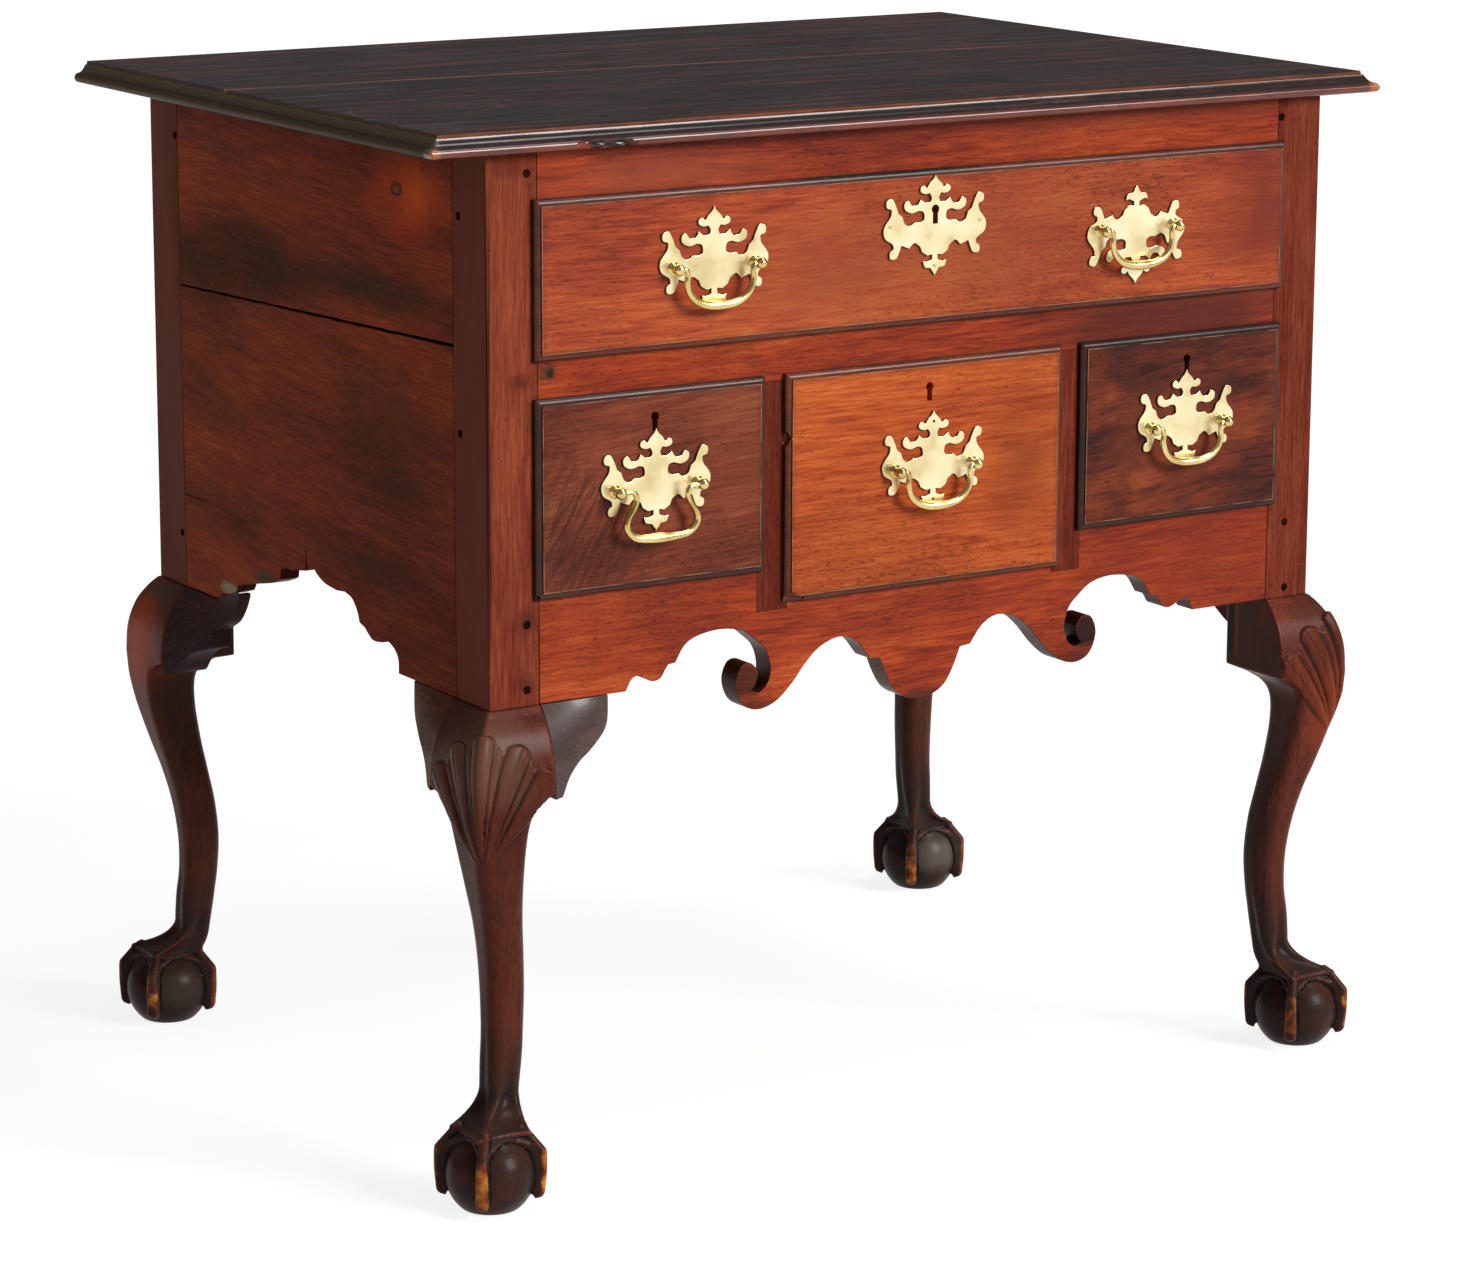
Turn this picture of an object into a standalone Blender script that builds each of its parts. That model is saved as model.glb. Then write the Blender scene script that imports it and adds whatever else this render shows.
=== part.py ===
import bpy
import bmesh
from math import ceil, cos, pi, radians, sin
from mathutils import Matrix, Vector

# Dressing table with a moulded top, four drawers, cabriole legs and pierced brasses.
# Metres, +Z up, the front faces -Y, and the origin lies on the floor under the middle of the case.

# Case
case_width = 0.724
case_depth = 0.522
total_height = 0.762
front_post_width = 0.040
side_post_depth = 0.0465
board_thickness = 0.016
fit = 0.0003
edge_ease = 0.0008

# Top
top_thickness = 0.016
top_side_overhang = 0.048
top_front_overhang = 0.012
top_seam_left = 0.057
top_seam_right = 0.019
top_seam_gap = 0.0009
mould_inset = 0.0105

# Joints of the frame
tenon_length = 0.012
tenon_thickness = 0.008
tenon_shoulder = 0.012
upper_side_board_front = 0.1367
upper_side_board_rear = 0.1499
crack_front_gap = 0.0022
crack_rear_gap = 0.0012

# Rails, apron and dividers
top_rail_height = 0.037
top_rail_depth = 0.030
long_drawer_height = 0.103
middle_rail_height = 0.035
middle_rail_depth = 0.055
side_drawer_height = 0.132
centre_drawer_drop = 0.0255
apron_height = 0.079
apron_thickness = 0.020
divider_width = 0.026
divider_centre = 0.130
divider_depth = 0.030
divider_lap_height = 0.009
divider_lap_thickness = 0.008
divider_tenon_height = 0.010

# Back board and runners
back_thickness = 0.012
back_inset = 0.006
back_rise = 0.025
back_tongue = 0.008
runner_thickness = 0.018
runner_reach = 0.022
guide_height = 0.023

# Drawers
lip_overlap = 0.0045
lip_proud = 0.0062
slide_clearance = 0.0012
drawer_front_depth = 0.014
drawer_side_thickness = 0.010
drawer_back_thickness = 0.010
drawer_back_gap = 0.018
drawer_bottom_thickness = 0.006
drawer_bottom_rise = 0.010
drawer_side_drop = 0.004
groove_depth = 0.005
tail_length = 0.0105
tail_slope = 0.16
tail_share = 0.27

# Brasses and locks
long_pull_inset = 0.138
long_key_drop = 0.0242
lower_key_drop = 0.0152
escutcheon_key_rise = 0.0165
plate_thickness = 0.0015
post_spacing = 0.0674
post_standoff = 0.008
post_ball_radius = 0.0043
post_stem_radius = 0.0029
post_shank_radius = 0.0021
nut_radius = 0.0058
nut_thickness = 0.003
shank_end = 0.0015
bail_pin_radius = 0.0016
bail_hole_radius = 0.0021
bail_hole_depth = 0.0030
keyhole_radius = 0.0033
keyhole_slot = 0.0044
keyhole_drop = 0.0105
lock_width = 0.052
lock_height = 0.040
lock_thickness = 0.009
bolt_width = 0.020
bolt_thickness = 0.0045
bolt_height = 0.016
bolt_travel = 0.007

# Legs and feet
ankle_top = 0.088
ball_radius = 0.031
ball_height = 0.0285
foot_reach = 0.032
foot_out = 0.002
claw_thickness = 0.0118
front_bracket_length = 0.055
side_bracket_length = 0.0615
stepped_bracket_length = 0.094
front_bracket_back = 0.016
side_bracket_back = 0.010

# Heights of the openings, from the top down
case_top = total_height - top_thickness
top_rail_bottom = case_top - top_rail_height
middle_rail_top = top_rail_bottom - long_drawer_height
middle_rail_bottom = middle_rail_top - middle_rail_height
side_opening_floor = middle_rail_bottom - side_drawer_height
centre_opening_floor = side_opening_floor - centre_drawer_drop
divider_lap_bottom = centre_opening_floor - divider_lap_height
case_bottom = side_opening_floor - apron_height
back_bottom = case_bottom + back_rise
crack_front = case_top - upper_side_board_front
crack_rear = case_top - upper_side_board_rear

# The top stands out at the back as far as the claws do at the front, so the case is in the middle
top_rear_overhang = foot_reach
half_width = case_width / 2
half_depth = case_depth / 2
post_inner_x = half_width - front_post_width
post_inner_y = half_depth - side_post_depth
front_y = -half_depth
side_inner_x = half_width - board_thickness
back_front_y = half_depth - back_inset - back_thickness
drawer_face_y = front_y - lip_proud
drawer_back_y = back_front_y - drawer_back_gap

# The carved edges and the legs below are drawn for a case whose lower edge is this high over the floor
drawn_case_bottom = 0.360


for thing in list(bpy.data.objects):
    bpy.data.objects.remove(thing, do_unlink=True)

parts = bpy.data.collections.new("dressing_table")
cutters = bpy.data.collections.new("cutters")
bpy.context.scene.collection.children.link(parts)
bpy.context.scene.collection.children.link(cutters)


def linear(hex_colour):
    channels = [int(hex_colour[i:i + 2], 16) / 255 for i in (1, 3, 5)]
    return [c / 12.92 if c <= 0.04045 else ((c + 0.055) / 1.055) ** 2.4 for c in channels] + [1.0]


def finish(name, hex_colour, roughness, metallic=0.0):
    material = bpy.data.materials.new(name)
    material.use_nodes = True
    shader = material.node_tree.nodes["Principled BSDF"]
    shader.inputs["Base Color"].default_value = linear(hex_colour)
    shader.inputs["Roughness"].default_value = roughness
    shader.inputs["Metallic"].default_value = metallic
    return material


walnut_top = finish("walnut_top", "#2A1714", 0.35)
walnut_front = finish("walnut_front", "#7A3016", 0.38)
walnut_side = finish("walnut_side", "#4F2118", 0.42)
walnut_leg = finish("walnut_leg", "#4A1D16", 0.36)
walnut_drawer = finish("walnut_drawer", "#8A3C1C", 0.36)
walnut_dark_drawer = finish("walnut_dark_drawer", "#63291B", 0.36)
walnut_light_drawer = finish("walnut_light_drawer", "#9A4B20", 0.36)
pine = finish("pine", "#A57C4C", 0.65)
brass = finish("brass", "#D9C27A", 0.28, 1.0)
iron = finish("iron", "#4A4540", 0.55, 1.0)


def add_piece(name, mesh, material=None, group=parts, origin=(0, 0, 0)):
    # The mesh comes in world coordinates and is shifted so that the piece's origin lies at origin
    mesh.transform(Matrix.Translation(-Vector(origin)))
    piece = bpy.data.objects.new(name, mesh)
    piece.location = origin
    group.objects.link(piece)
    if material:
        mesh.materials.append(material)
    return piece


def hang_from(piece, parent):
    piece.parent = parent
    piece.matrix_parent_inverse = Matrix.Translation(-parent.location)


def finished_mesh(bm, name):
    bmesh.ops.recalc_face_normals(bm, faces=bm.faces)
    mesh = bpy.data.meshes.new(name)
    bm.to_mesh(mesh)
    bm.free()
    return mesh


def add_box(bm, low, high):
    middle = [(a + b) / 2 for a, b in zip(low, high)]
    size = [b - a for a, b in zip(low, high)]
    bmesh.ops.create_cube(bm, size=1, matrix=Matrix.Translation(middle) @ Matrix.Diagonal((*size, 1)))


def grown(box, amount):
    low, high = box
    return tuple(v - amount for v in low), tuple(v + amount for v in high)


def mirrored(box):
    low, high = box
    return (-high[0], low[1], low[2]), (-low[0], high[1], high[2])


def boxes_mesh(boxes, name):
    bm = bmesh.new()
    for low, high in boxes:
        add_box(bm, low, high)
    return finished_mesh(bm, name)


def board(name, low, high, material):
    return add_piece(name, boxes_mesh([(low, high)], name), material)


def combine(piece, meshes, operation, label):
    # Each mesh becomes a hidden helper that the piece joins or is cut by
    for number, mesh in enumerate(meshes):
        helper = add_piece(f"{piece.name}_{label}_{number}", mesh, None, cutters)
        helper.hide_render = True
        helper.display_type = "WIRE"
        helper.parent = piece
        helper.matrix_parent_inverse = Matrix.Translation(-piece.location)
        modifier = piece.modifiers.new(f"{label}_{number}", "BOOLEAN")
        modifier.operation = operation
        modifier.solver = "EXACT"
        modifier.object = helper


def cut(piece, meshes, label="cut"):
    combine(piece, meshes, "DIFFERENCE", label)


def join(piece, meshes, label="joined"):
    combine(piece, meshes, "UNION", label)


def loft(rings, name):
    # A closed body through rings of equal point counts, capped at both ends
    bm = bmesh.new()
    loops = [[bm.verts.new(p) for p in ring] for ring in rings]
    for below, above in zip(loops, loops[1:]):
        for i in range(len(below)):
            j = (i + 1) % len(below)
            bm.faces.new((below[i], below[j], above[j], above[i]))
    bm.faces.new(loops[0])
    bm.faces.new(loops[-1])
    return finished_mesh(bm, name)


def smooth_line(points, step):
    # Points are (u, v) with a third value "s" where the line runs smoothly through them.
    # Smooth stretches become cubic arcs cut into pieces of about one step.
    count = len(points)
    line = []
    for i in range(count):
        before, here, after, beyond = (points[(i + k) % count] for k in (-1, 0, 1, 2))
        a, b = Vector(here[:2]), Vector(after[:2])
        bends_here, bends_after = len(here) > 2, len(after) > 2
        leave = (b - Vector(before[:2])) / 2 if bends_here else b - a
        arrive = (Vector(beyond[:2]) - a) / 2 if bends_after else b - a
        pieces = max(1, ceil((b - a).length / step)) if bends_here or bends_after else 1
        for k in range(pieces):
            t = k / pieces
            line.append(a * (2 * t ** 3 - 3 * t ** 2 + 1) + leave * (t ** 3 - 2 * t ** 2 + t)
                        + b * (3 * t ** 2 - 2 * t ** 3) + arrive * (t ** 3 - t ** 2))
    return line


def outline_mesh(line, thickness, place, name):
    # A flat closed outline as a filled 2D curve, thickened evenly to both sides of its plane.
    # It is drawn in millimetres, because very fine outlines don't fill well in metres.
    curve = bpy.data.curves.new(name, "CURVE")
    curve.dimensions = "2D"
    curve.fill_mode = "BOTH"
    curve.extrude = thickness * 500
    spline = curve.splines.new("POLY")
    spline.points.add(len(line) - 1)
    for point, (u, v) in zip(spline.points, line):
        point.co = (u * 1000, v * 1000, 0, 1)
    spline.use_cyclic_u = True
    return curve_to_mesh(curve, name, place @ Matrix.Scale(0.001, 4))


def curve_to_mesh(curve, name, place=Matrix()):
    holder = bpy.data.objects.new(name, curve)
    bpy.context.scene.collection.objects.link(holder)
    bpy.context.view_layer.update()
    shape = holder.evaluated_get(bpy.context.evaluated_depsgraph_get())
    mesh = bpy.data.meshes.new_from_object(shape)
    bpy.data.objects.remove(holder, do_unlink=True)
    bm = bmesh.new()
    bm.from_mesh(mesh)
    bpy.data.meshes.remove(mesh)
    bmesh.ops.transform(bm, matrix=place, verts=bm.verts)
    bmesh.ops.remove_doubles(bm, verts=bm.verts, dist=0.00001)
    return finished_mesh(bm, name)


def facing_front(y):
    # Outline u, v become x, z on the upright plane at this y
    return Matrix(((1, 0, 0, 0), (0, 0, 1, y), (0, 1, 0, 0), (0, 0, 0, 1)))


def facing_side(x):
    # Outline u, v become y, z on the upright plane at this x
    return Matrix(((0, 0, 1, x), (1, 0, 0, 0), (0, 1, 0, 0), (0, 0, 0, 1)))


def tube_mesh(points, radii, name, sides=8):
    # A round bar along points, thick by its radii, with filled ends
    curve = bpy.data.curves.new(name, "CURVE")
    curve.dimensions = "3D"
    curve.bevel_depth = 1.0
    curve.bevel_resolution = (sides - 4) // 2
    curve.use_fill_caps = True
    spline = curve.splines.new("POLY")
    spline.points.add(len(points) - 1)
    for point, co, radius in zip(spline.points, points, radii):
        point.co = (*co, 1)
        point.radius = radius
    return curve_to_mesh(curve, name)


def turned_mesh(profile, steps, place, name):
    # A turned piece: profile points are (radius, distance along the axis), from one end to the other
    bm = bmesh.new()
    verts = [bm.verts.new((radius, 0, along)) for radius, along in profile]
    edges = [bm.edges.new(pair) for pair in zip(verts, verts[1:])]
    bmesh.ops.spin(bm, geom=verts + edges, cent=(0, 0, 0), axis=(0, 0, 1), angle=2 * pi, steps=steps)
    bmesh.ops.remove_doubles(bm, verts=bm.verts, dist=0.00001)
    bmesh.ops.transform(bm, matrix=place, verts=bm.verts)
    return finished_mesh(bm, name)


# The two boards of the top. Height over the underside and inset from the tip of the moulding, going up:
# a half round nosing, a quirk, a hollow and a small upright fillet.
top_mould = [
    (0.0000, 0.0034), (0.0012, 0.0010), (0.0036, 0.0000), (0.0060, 0.0009), (0.0074, 0.0034),
    (0.0076, 0.0046), (0.0094, 0.0066), (0.0120, 0.0084), (0.0132, 0.0088), (0.0136, mould_inset),
    (top_thickness, mould_inset),
]


def top_board(name, front):
    left = -half_width - top_side_overhang
    right = -left
    rings = []
    for height, inset in top_mould:
        z = case_top + height
        slope = (top_seam_right - top_seam_left) / (right - left)
        seam_at_left = top_seam_left + slope * inset
        seam_at_right = top_seam_right - slope * inset
        if front:
            outer = -half_depth - top_front_overhang + inset
            shift = -top_seam_gap / 2
        else:
            outer = half_depth + top_rear_overhang
            shift = top_seam_gap / 2
        rings.append([
            (left + inset, outer, z), (right - inset, outer, z),
            (right - inset, seam_at_right + shift, z), (left + inset, seam_at_left + shift, z),
        ])
    add_piece(name, loft(rings, name), walnut_top)


top_board("top_front_board", True)
top_board("top_rear_board", False)


# Tenons of the boards and rails, as boxes on the left half of the case.
# Side boards have bare-faced tenons on their inner half, front pieces have theirs behind the face.
side_tenon_x = (-half_width + board_thickness - tenon_thickness, -half_width + board_thickness)
front_tenon_y = (front_y + 0.006, front_y + 0.006 + tenon_thickness)
crack_front_top = crack_front + crack_front_gap / 2
crack_rear_bottom = crack_rear - crack_rear_gap / 2


def side_tenons(z_low, z_high):
    front = ((side_tenon_x[0], -post_inner_y - tenon_length, z_low), (side_tenon_x[1], -post_inner_y, z_high))
    rear = ((side_tenon_x[0], post_inner_y, z_low), (side_tenon_x[1], post_inner_y + tenon_length, z_high))
    return front, rear


def front_tenon(z_low, z_high):
    return (-post_inner_x - tenon_length, front_tenon_y[0], z_low), (-post_inner_x, front_tenon_y[1], z_high)


lower_side_tenons = side_tenons(case_bottom + tenon_shoulder, crack_rear_bottom - tenon_shoulder)
upper_side_tenons = side_tenons(crack_front_top + tenon_shoulder, case_top - fit)
whole_side_tenons = side_tenons(case_bottom + tenon_shoulder, case_top - fit)
apron_tenon = front_tenon(case_bottom + tenon_shoulder, side_opening_floor - 0.008)
middle_rail_tenon = front_tenon(middle_rail_bottom + 0.006, middle_rail_top - 0.006)
top_rail_tenon = front_tenon(top_rail_bottom + 0.012, case_top - fit)


def tenon_root(box, axis, sign):
    # The tenon is grown a little into its own board so that the two join into one body
    low, high = list(box[0]), list(box[1])
    if sign > 0:
        high[axis] += 0.002
    else:
        low[axis] -= 0.002
    return tuple(low), tuple(high)


def moved_edge(points):
    # The drawn edges of the apron and the sides keep their shape and move with the case
    return [(p[0], p[1] + case_bottom - drawn_case_bottom, *p[2:]) for p in points]


def leg_height(z):
    # Above the ankle a leg stretches with the height of the case
    if z <= ankle_top:
        return z
    return ankle_top + (z - ankle_top) * (case_bottom - ankle_top) / (drawn_case_bottom - ankle_top)


# Scalloped lower edge of the sides from the middle to the front, as distance from the middle and height
side_scallop = [
    (0.0000, 0.4130), (0.0050, 0.4095, "s"), (0.0166, 0.4052, "s"), (0.0352, 0.4033), (0.0480, 0.4046),
    (0.0590, 0.4018, "s"), (0.0668, 0.3940, "s"), (0.0705, 0.3860), (0.0783, 0.3838), (0.0848, 0.3795, "s"),
    (0.0915, 0.3768, "s"), (0.1030, 0.3778, "s"), (0.1144, 0.3805), (0.1235, 0.3765, "s"),
    (0.1288, 0.3700, "s"), (0.1293, drawn_case_bottom),
]
side_scallop = moved_edge(side_scallop)


def side_board(name, x_middle, tenons, top_front, top_rear, bottom):
    inner_y = post_inner_y - fit
    line = [(inner_y, top_rear), (-inner_y, top_front)]
    if bottom is None:
        line.append((-inner_y, case_bottom))
        line += [(-p[0], *p[1:]) for p in reversed(side_scallop)]
        line += [p for p in side_scallop[1:]]
        line.append((inner_y, case_bottom))
    else:
        line += [(-inner_y, bottom[0]), (inner_y, bottom[1])]
    mesh = outline_mesh(smooth_line(line, 0.009), board_thickness, facing_side(x_middle), name)
    side = add_piece(name, mesh, walnut_side)
    front, rear = tenons
    tongue_boxes = [tenon_root(front, 1, 1), tenon_root(rear, 1, -1)]
    if x_middle > 0:
        tongue_boxes = [mirrored(b) for b in tongue_boxes]
    join(side, [boxes_mesh(tongue_boxes, name + "_tenons")], "tenons")


side_middle = half_width - board_thickness / 2
side_board("side_left_lower_board", -side_middle, lower_side_tenons,
           crack_front - crack_front_gap / 2, crack_rear - crack_rear_gap / 2, None)
side_board("side_left_upper_board", -side_middle, upper_side_tenons, case_top - fit, case_top - fit,
           (crack_front + crack_front_gap / 2, crack_rear + crack_rear_gap / 2))
side_board("side_right_board", side_middle, whole_side_tenons, case_top - fit, case_top - fit, None)

back_box = ((-post_inner_x - back_tongue, back_front_y, back_bottom),
            (post_inner_x + back_tongue, back_front_y + back_thickness, case_top - fit))
board("back_board", *back_box, pine)


# Cabriole legs. Each station gives the height, how far the two outer faces stand out from the case,
# how far the two inner faces lie inside it, and the radii of the outer, side and inner corners.
leg_stations = [
    (0.3590, 0.0022, None, 0.0015, 0.0008, 0.0008),
    (0.3520, 0.0085, None, 0.0025, 0.0008, 0.0008),
    (0.3390, 0.0162, None, 0.0040, 0.0010, 0.0008),
    (0.3210, 0.0215, None, 0.0060, 0.0012, 0.0008),
    (0.3005, 0.0232, None, 0.0075, 0.0018, 0.0008),
    (0.2965, 0.0231, 0.0320, 0.0080, 0.0030, 0.0030),
    (0.2900, 0.0228, 0.0250, 0.0085, 0.0040, 0.0070),
    (0.2790, 0.0220, 0.0212, 0.0090, 0.0055, 0.0098),
    (0.2580, 0.0184, 0.0212, 0.0097, 0.0085, 0.0110),
    (0.2290, 0.0112, 0.0242, 0.0102, 0.0110, 0.0110),
    (0.2050, 0.0046, 0.0278, 0.0105, 0.0120, 0.0110),
    (0.1790, -0.0007, 0.0316, 0.0108, 0.0125, 0.0110),
    (0.1510, -0.0038, 0.0334, 0.0110, 0.0121, 0.0110),
    (0.1240, -0.0040, 0.0322, 0.0110, 0.0117, 0.0110),
    (0.1030, -0.0024, 0.0296, 0.0110, 0.0116, 0.0110),
    (ankle_top, 0.0002, 0.0272, 0.0112, 0.0120, 0.0112),
    (0.0770, 0.0040, 0.0262, 0.0120, 0.0130, 0.0120),
    (0.0680, 0.0085, 0.0250, 0.0145, 0.0155, 0.0145),
    (0.0560, 0.0125, 0.0215, 0.0165, 0.0168, 0.0165),
]
leg_stations = [(leg_height(station[0]), *station[1:]) for station in leg_stations]
corner_steps = 3


def knee_bulge(z):
    # How far the outer faces of the knee stand out from the case at a height
    above = leg_stations[0]
    for station in leg_stations[1:]:
        if z >= station[0]:
            t = (z - station[0]) / (above[0] - station[0])
            return station[1] + (above[1] - station[1]) * min(t, 1.0)
        above = station
    return above[1]


def leg_ring(side_x, side_y, z, out, inner, radii):
    # A rounded rectangle whose outer corner points away from the case
    inner_x, inner_y = inner if inner else (front_post_width, side_post_depth)
    corners = [(out, out, radii[0]), (-inner_x, out, radii[1]), (-inner_x, -inner_y, radii[2]),
               (out, -inner_y, radii[1])]
    ring = []
    for number, (cx, cy, radius) in enumerate(corners):
        middle_x = cx - radius if number in (0, 3) else cx + radius
        middle_y = cy - radius if number in (0, 1) else cy + radius
        for k in range(corner_steps + 1):
            angle = pi / 2 * (number + k / corner_steps)
            x = half_width + middle_x + radius * cos(angle)
            y = half_depth + middle_y + radius * sin(angle)
            ring.append((side_x * x, side_y * y, z))
    return ring


def leg_mesh(side_x, side_y, name):
    rings = []
    eased = (edge_ease,) * 3
    for z in (case_top - fit, case_bottom):
        rings.append(leg_ring(side_x, side_y, z, 0.0, None, eased))
    for z, out, inner, *radii in leg_stations:
        rings.append(leg_ring(side_x, side_y, z, out, inner and (inner, inner), radii))
    return loft(rings, name)


def foot_place(side_x, side_y, along, across, z):
    # A point beside the foot: along runs out on the diagonal of the case, across at right angles to it
    diagonal = Vector((side_x, side_y, 0)).normalized()
    sideways = Vector((-diagonal.y, diagonal.x, 0))
    corner = Vector((side_x * (half_width + foot_out), side_y * (half_depth + foot_out), z))
    return corner + diagonal * along + sideways * across


def ball_mesh(side_x, side_y, name):
    bm = bmesh.new()
    # Turned a little, so that its edges don't line up with the claws
    place = Matrix.Translation(foot_place(side_x, side_y, 0, 0, ball_height)) @ Matrix.Rotation(0.1, 4, "Z")
    bmesh.ops.create_uvsphere(bm, u_segments=14, v_segments=8, radius=ball_radius, matrix=place)
    for vert in bm.verts:
        vert.co.z = max(vert.co.z, 0.0)
    return finished_mesh(bm, name)


# The path of a claw: how far it is out from the middle of the ball, its height and its thickness as a
# share of the knuckle's. Its first two points lie on the ankle, behind the middle of the ball.
ankle_back = 0.022
claw_radius = claw_thickness / 2
claw_reach = (foot_reach - foot_out - claw_radius) * 2 ** 0.5
claw_path = [
    (0.010, 0.078, 0.78), (0.019, 0.064, 0.90), (claw_reach - 0.0080, 0.0560, 1.0), (claw_reach, 0.0440, 1.0),
    (claw_reach, 0.0300, 0.82), (claw_reach - 0.0005, 0.0185, 0.88), (claw_reach - 0.0075, 0.0088, 0.64),
]


def claw_mesh(side_x, side_y, turn, name):
    points = []
    radii = []
    for number, (out, z, share) in enumerate(claw_path):
        back = (ankle_back, ankle_back * 0.45)[number] if number < 2 else 0.0
        along = out * cos(turn) - back
        across = out * sin(turn)
        points.append(foot_place(side_x, side_y, along, across, z))
        radii.append(claw_radius * share)
    return tube_mesh(points, radii, name, 6)


def mortises(boxes, side_x, side_y):
    # The boxes are given for the left half, so the right legs take their mirror images
    turned = boxes if side_x < 0 else [mirrored(b) for b in boxes]
    return [boxes_mesh([grown(b, fit)], "mortise") for b in turned]


def leg(name, side_x, side_y):
    piece = add_piece(name, leg_mesh(side_x, side_y, name), walnut_leg)
    claws = [claw_mesh(side_x, side_y, k * pi / 2, name + "_claw") for k in range(4)]
    join(piece, [ball_mesh(side_x, side_y, name + "_ball")] + claws, "foot")
    end = 0 if side_y < 0 else 1
    boxes = [whole_side_tenons[end]] if side_x > 0 else [lower_side_tenons[end], upper_side_tenons[end]]
    if side_y < 0:
        boxes += [apron_tenon, middle_rail_tenon, top_rail_tenon]
    else:
        low, high = back_box
        boxes.append((low, (-post_inner_x, high[1], high[2])))
    cut(piece, mortises(boxes, side_x, side_y), "mortise")


leg("leg_front_left", -1, -1)
leg("leg_front_right", 1, -1)
leg("leg_rear_left", -1, 1)
leg("leg_rear_right", 1, 1)


# Knee brackets. The edge gives how far along the bracket, as a share of its length, and the height of
# its lower edge.
ogee_edge = [
    (0.00, 0.2960), (0.12, 0.2966), (0.25, 0.3090), (0.44, 0.3185), (0.62, 0.3235), (0.77, 0.3285),
    (0.91, 0.3345), (0.98, 0.3410), (1.00, 0.3490),
]
stepped_edge = [
    (0.00, 0.2980), (0.13, 0.3010), (0.27, 0.3110), (0.44, 0.3190), (0.60, 0.3255), (0.63, 0.3360),
    (0.84, 0.3440), (0.98, 0.3500), (1.00, 0.3530),
]


def knee_bracket(name, side_x, side_y, along_x, edge, length, back):
    rings = []
    for share, drawn_z in edge:
        z_low = leg_height(drawn_z)
        distance = share * length
        fade = 0.93 - 0.80 * share
        z_high = case_bottom - fit
        heights = [z_high + (z_low - z_high) * k / 5 for k in range(6)]
        section = [(knee_bulge(z) * fade, z) for z in heights] + [(-back, z_low), (-back, z_high)]
        ring = []
        for out, z in section:
            if along_x:
                ring.append((side_x * (post_inner_x - fit - distance), side_y * (half_depth + out), z))
            else:
                ring.append((side_x * (half_width + out), side_y * (post_inner_y - fit - distance), z))
        rings.append(ring)
    add_piece(name, loft(rings, name), walnut_leg)


knee_bracket("knee_bracket_front_left_front", -1, -1, True, ogee_edge, front_bracket_length, front_bracket_back)
knee_bracket("knee_bracket_front_left_side", -1, -1, False, ogee_edge, side_bracket_length, side_bracket_back)
knee_bracket("knee_bracket_rear_left_side", -1, 1, False, stepped_edge, stepped_bracket_length, side_bracket_back)
knee_bracket("knee_bracket_front_right_side", 1, -1, False, ogee_edge, side_bracket_length, side_bracket_back)
knee_bracket("knee_bracket_rear_right_side", 1, 1, False, ogee_edge, side_bracket_length, side_bracket_back)


# Front rails
def rail(name, low, high, tenon):
    piece = board(name, low, high, walnut_front)
    root = tenon_root(tenon, 0, 1)
    join(piece, [boxes_mesh([root, mirrored(root)], name + "_tenons")], "tenons")
    return piece


rail_end = post_inner_x - fit
top_rail = rail("front_top_rail", (-rail_end, front_y, top_rail_bottom),
                (rail_end, front_y + top_rail_depth, case_top - fit), top_rail_tenon)
middle_rail = rail("front_middle_rail", (-rail_end, front_y, middle_rail_bottom),
                   (rail_end, front_y + middle_rail_depth, middle_rail_top), middle_rail_tenon)

# The apron's lower edge from the middle to the right: a round drop, a step, an arch, a scroll that curls
# outwards round its eye, a wide arch, a step and two small lobes.
apron_edge = [
    (0.0000, 0.3236, "s"), (0.0120, 0.3252, "s"), (0.0225, 0.3320, "s"), (0.0300, 0.3440, "s"), (0.0357, 0.3575),
    (0.0445, 0.3585), (0.0560, 0.3722, "s"), (0.0700, 0.3778, "s"), (0.0870, 0.3730, "s"), (0.1000, 0.3624, "s"),
    (0.1120, 0.3485, "s"), (0.1260, 0.3368, "s"), (0.1417, 0.3327, "s"), (0.1545, 0.3385, "s"),
    (0.1602, 0.3530, "s"), (0.1560, 0.3656, "s"), (0.1475, 0.3676, "s"), (0.1415, 0.3610, "s"),
    (0.1428, 0.3525, "s"), (0.1468, 0.3472), (0.1400, 0.3452, "s"), (0.1330, 0.3515, "s"), (0.1306, 0.3620, "s"),
    (0.1345, 0.3752, "s"), (0.1425, 0.3835, "s"), (0.1550, 0.3922, "s"), (0.1720, 0.3955, "s"),
    (0.1900, 0.3936, "s"), (0.2025, 0.3880, "s"), (0.2108, 0.3758), (0.2165, 0.3752), (0.2195, 0.3712, "s"),
    (0.2228, 0.3662, "s"), (0.2290, 0.3645, "s"), (0.2350, 0.3668, "s"), (0.2415, 0.3698, "s"),
    (0.2468, 0.3682, "s"), (0.2518, drawn_case_bottom),
]
apron_edge = moved_edge(apron_edge)
divider_inner = divider_centre - divider_width / 2
divider_outer = divider_centre + divider_width / 2
apron_half = [(0.0, centre_opening_floor), (divider_inner, centre_opening_floor),
              (divider_inner, side_opening_floor), (rail_end, side_opening_floor), (rail_end, case_bottom)]
right_half = apron_half[1:] + list(reversed(apron_edge))
left_half = [(-p[0], *p[1:]) for p in reversed(right_half[:-1])]
apron_line = smooth_line(right_half + left_half, 0.009)
apron_place = facing_front(front_y + apron_thickness / 2)
apron_mesh = outline_mesh(apron_line, apron_thickness, apron_place, "front_apron")
apron = add_piece("front_apron", apron_mesh, walnut_front)
apron_root = tenon_root(apron_tenon, 0, 1)
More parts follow.
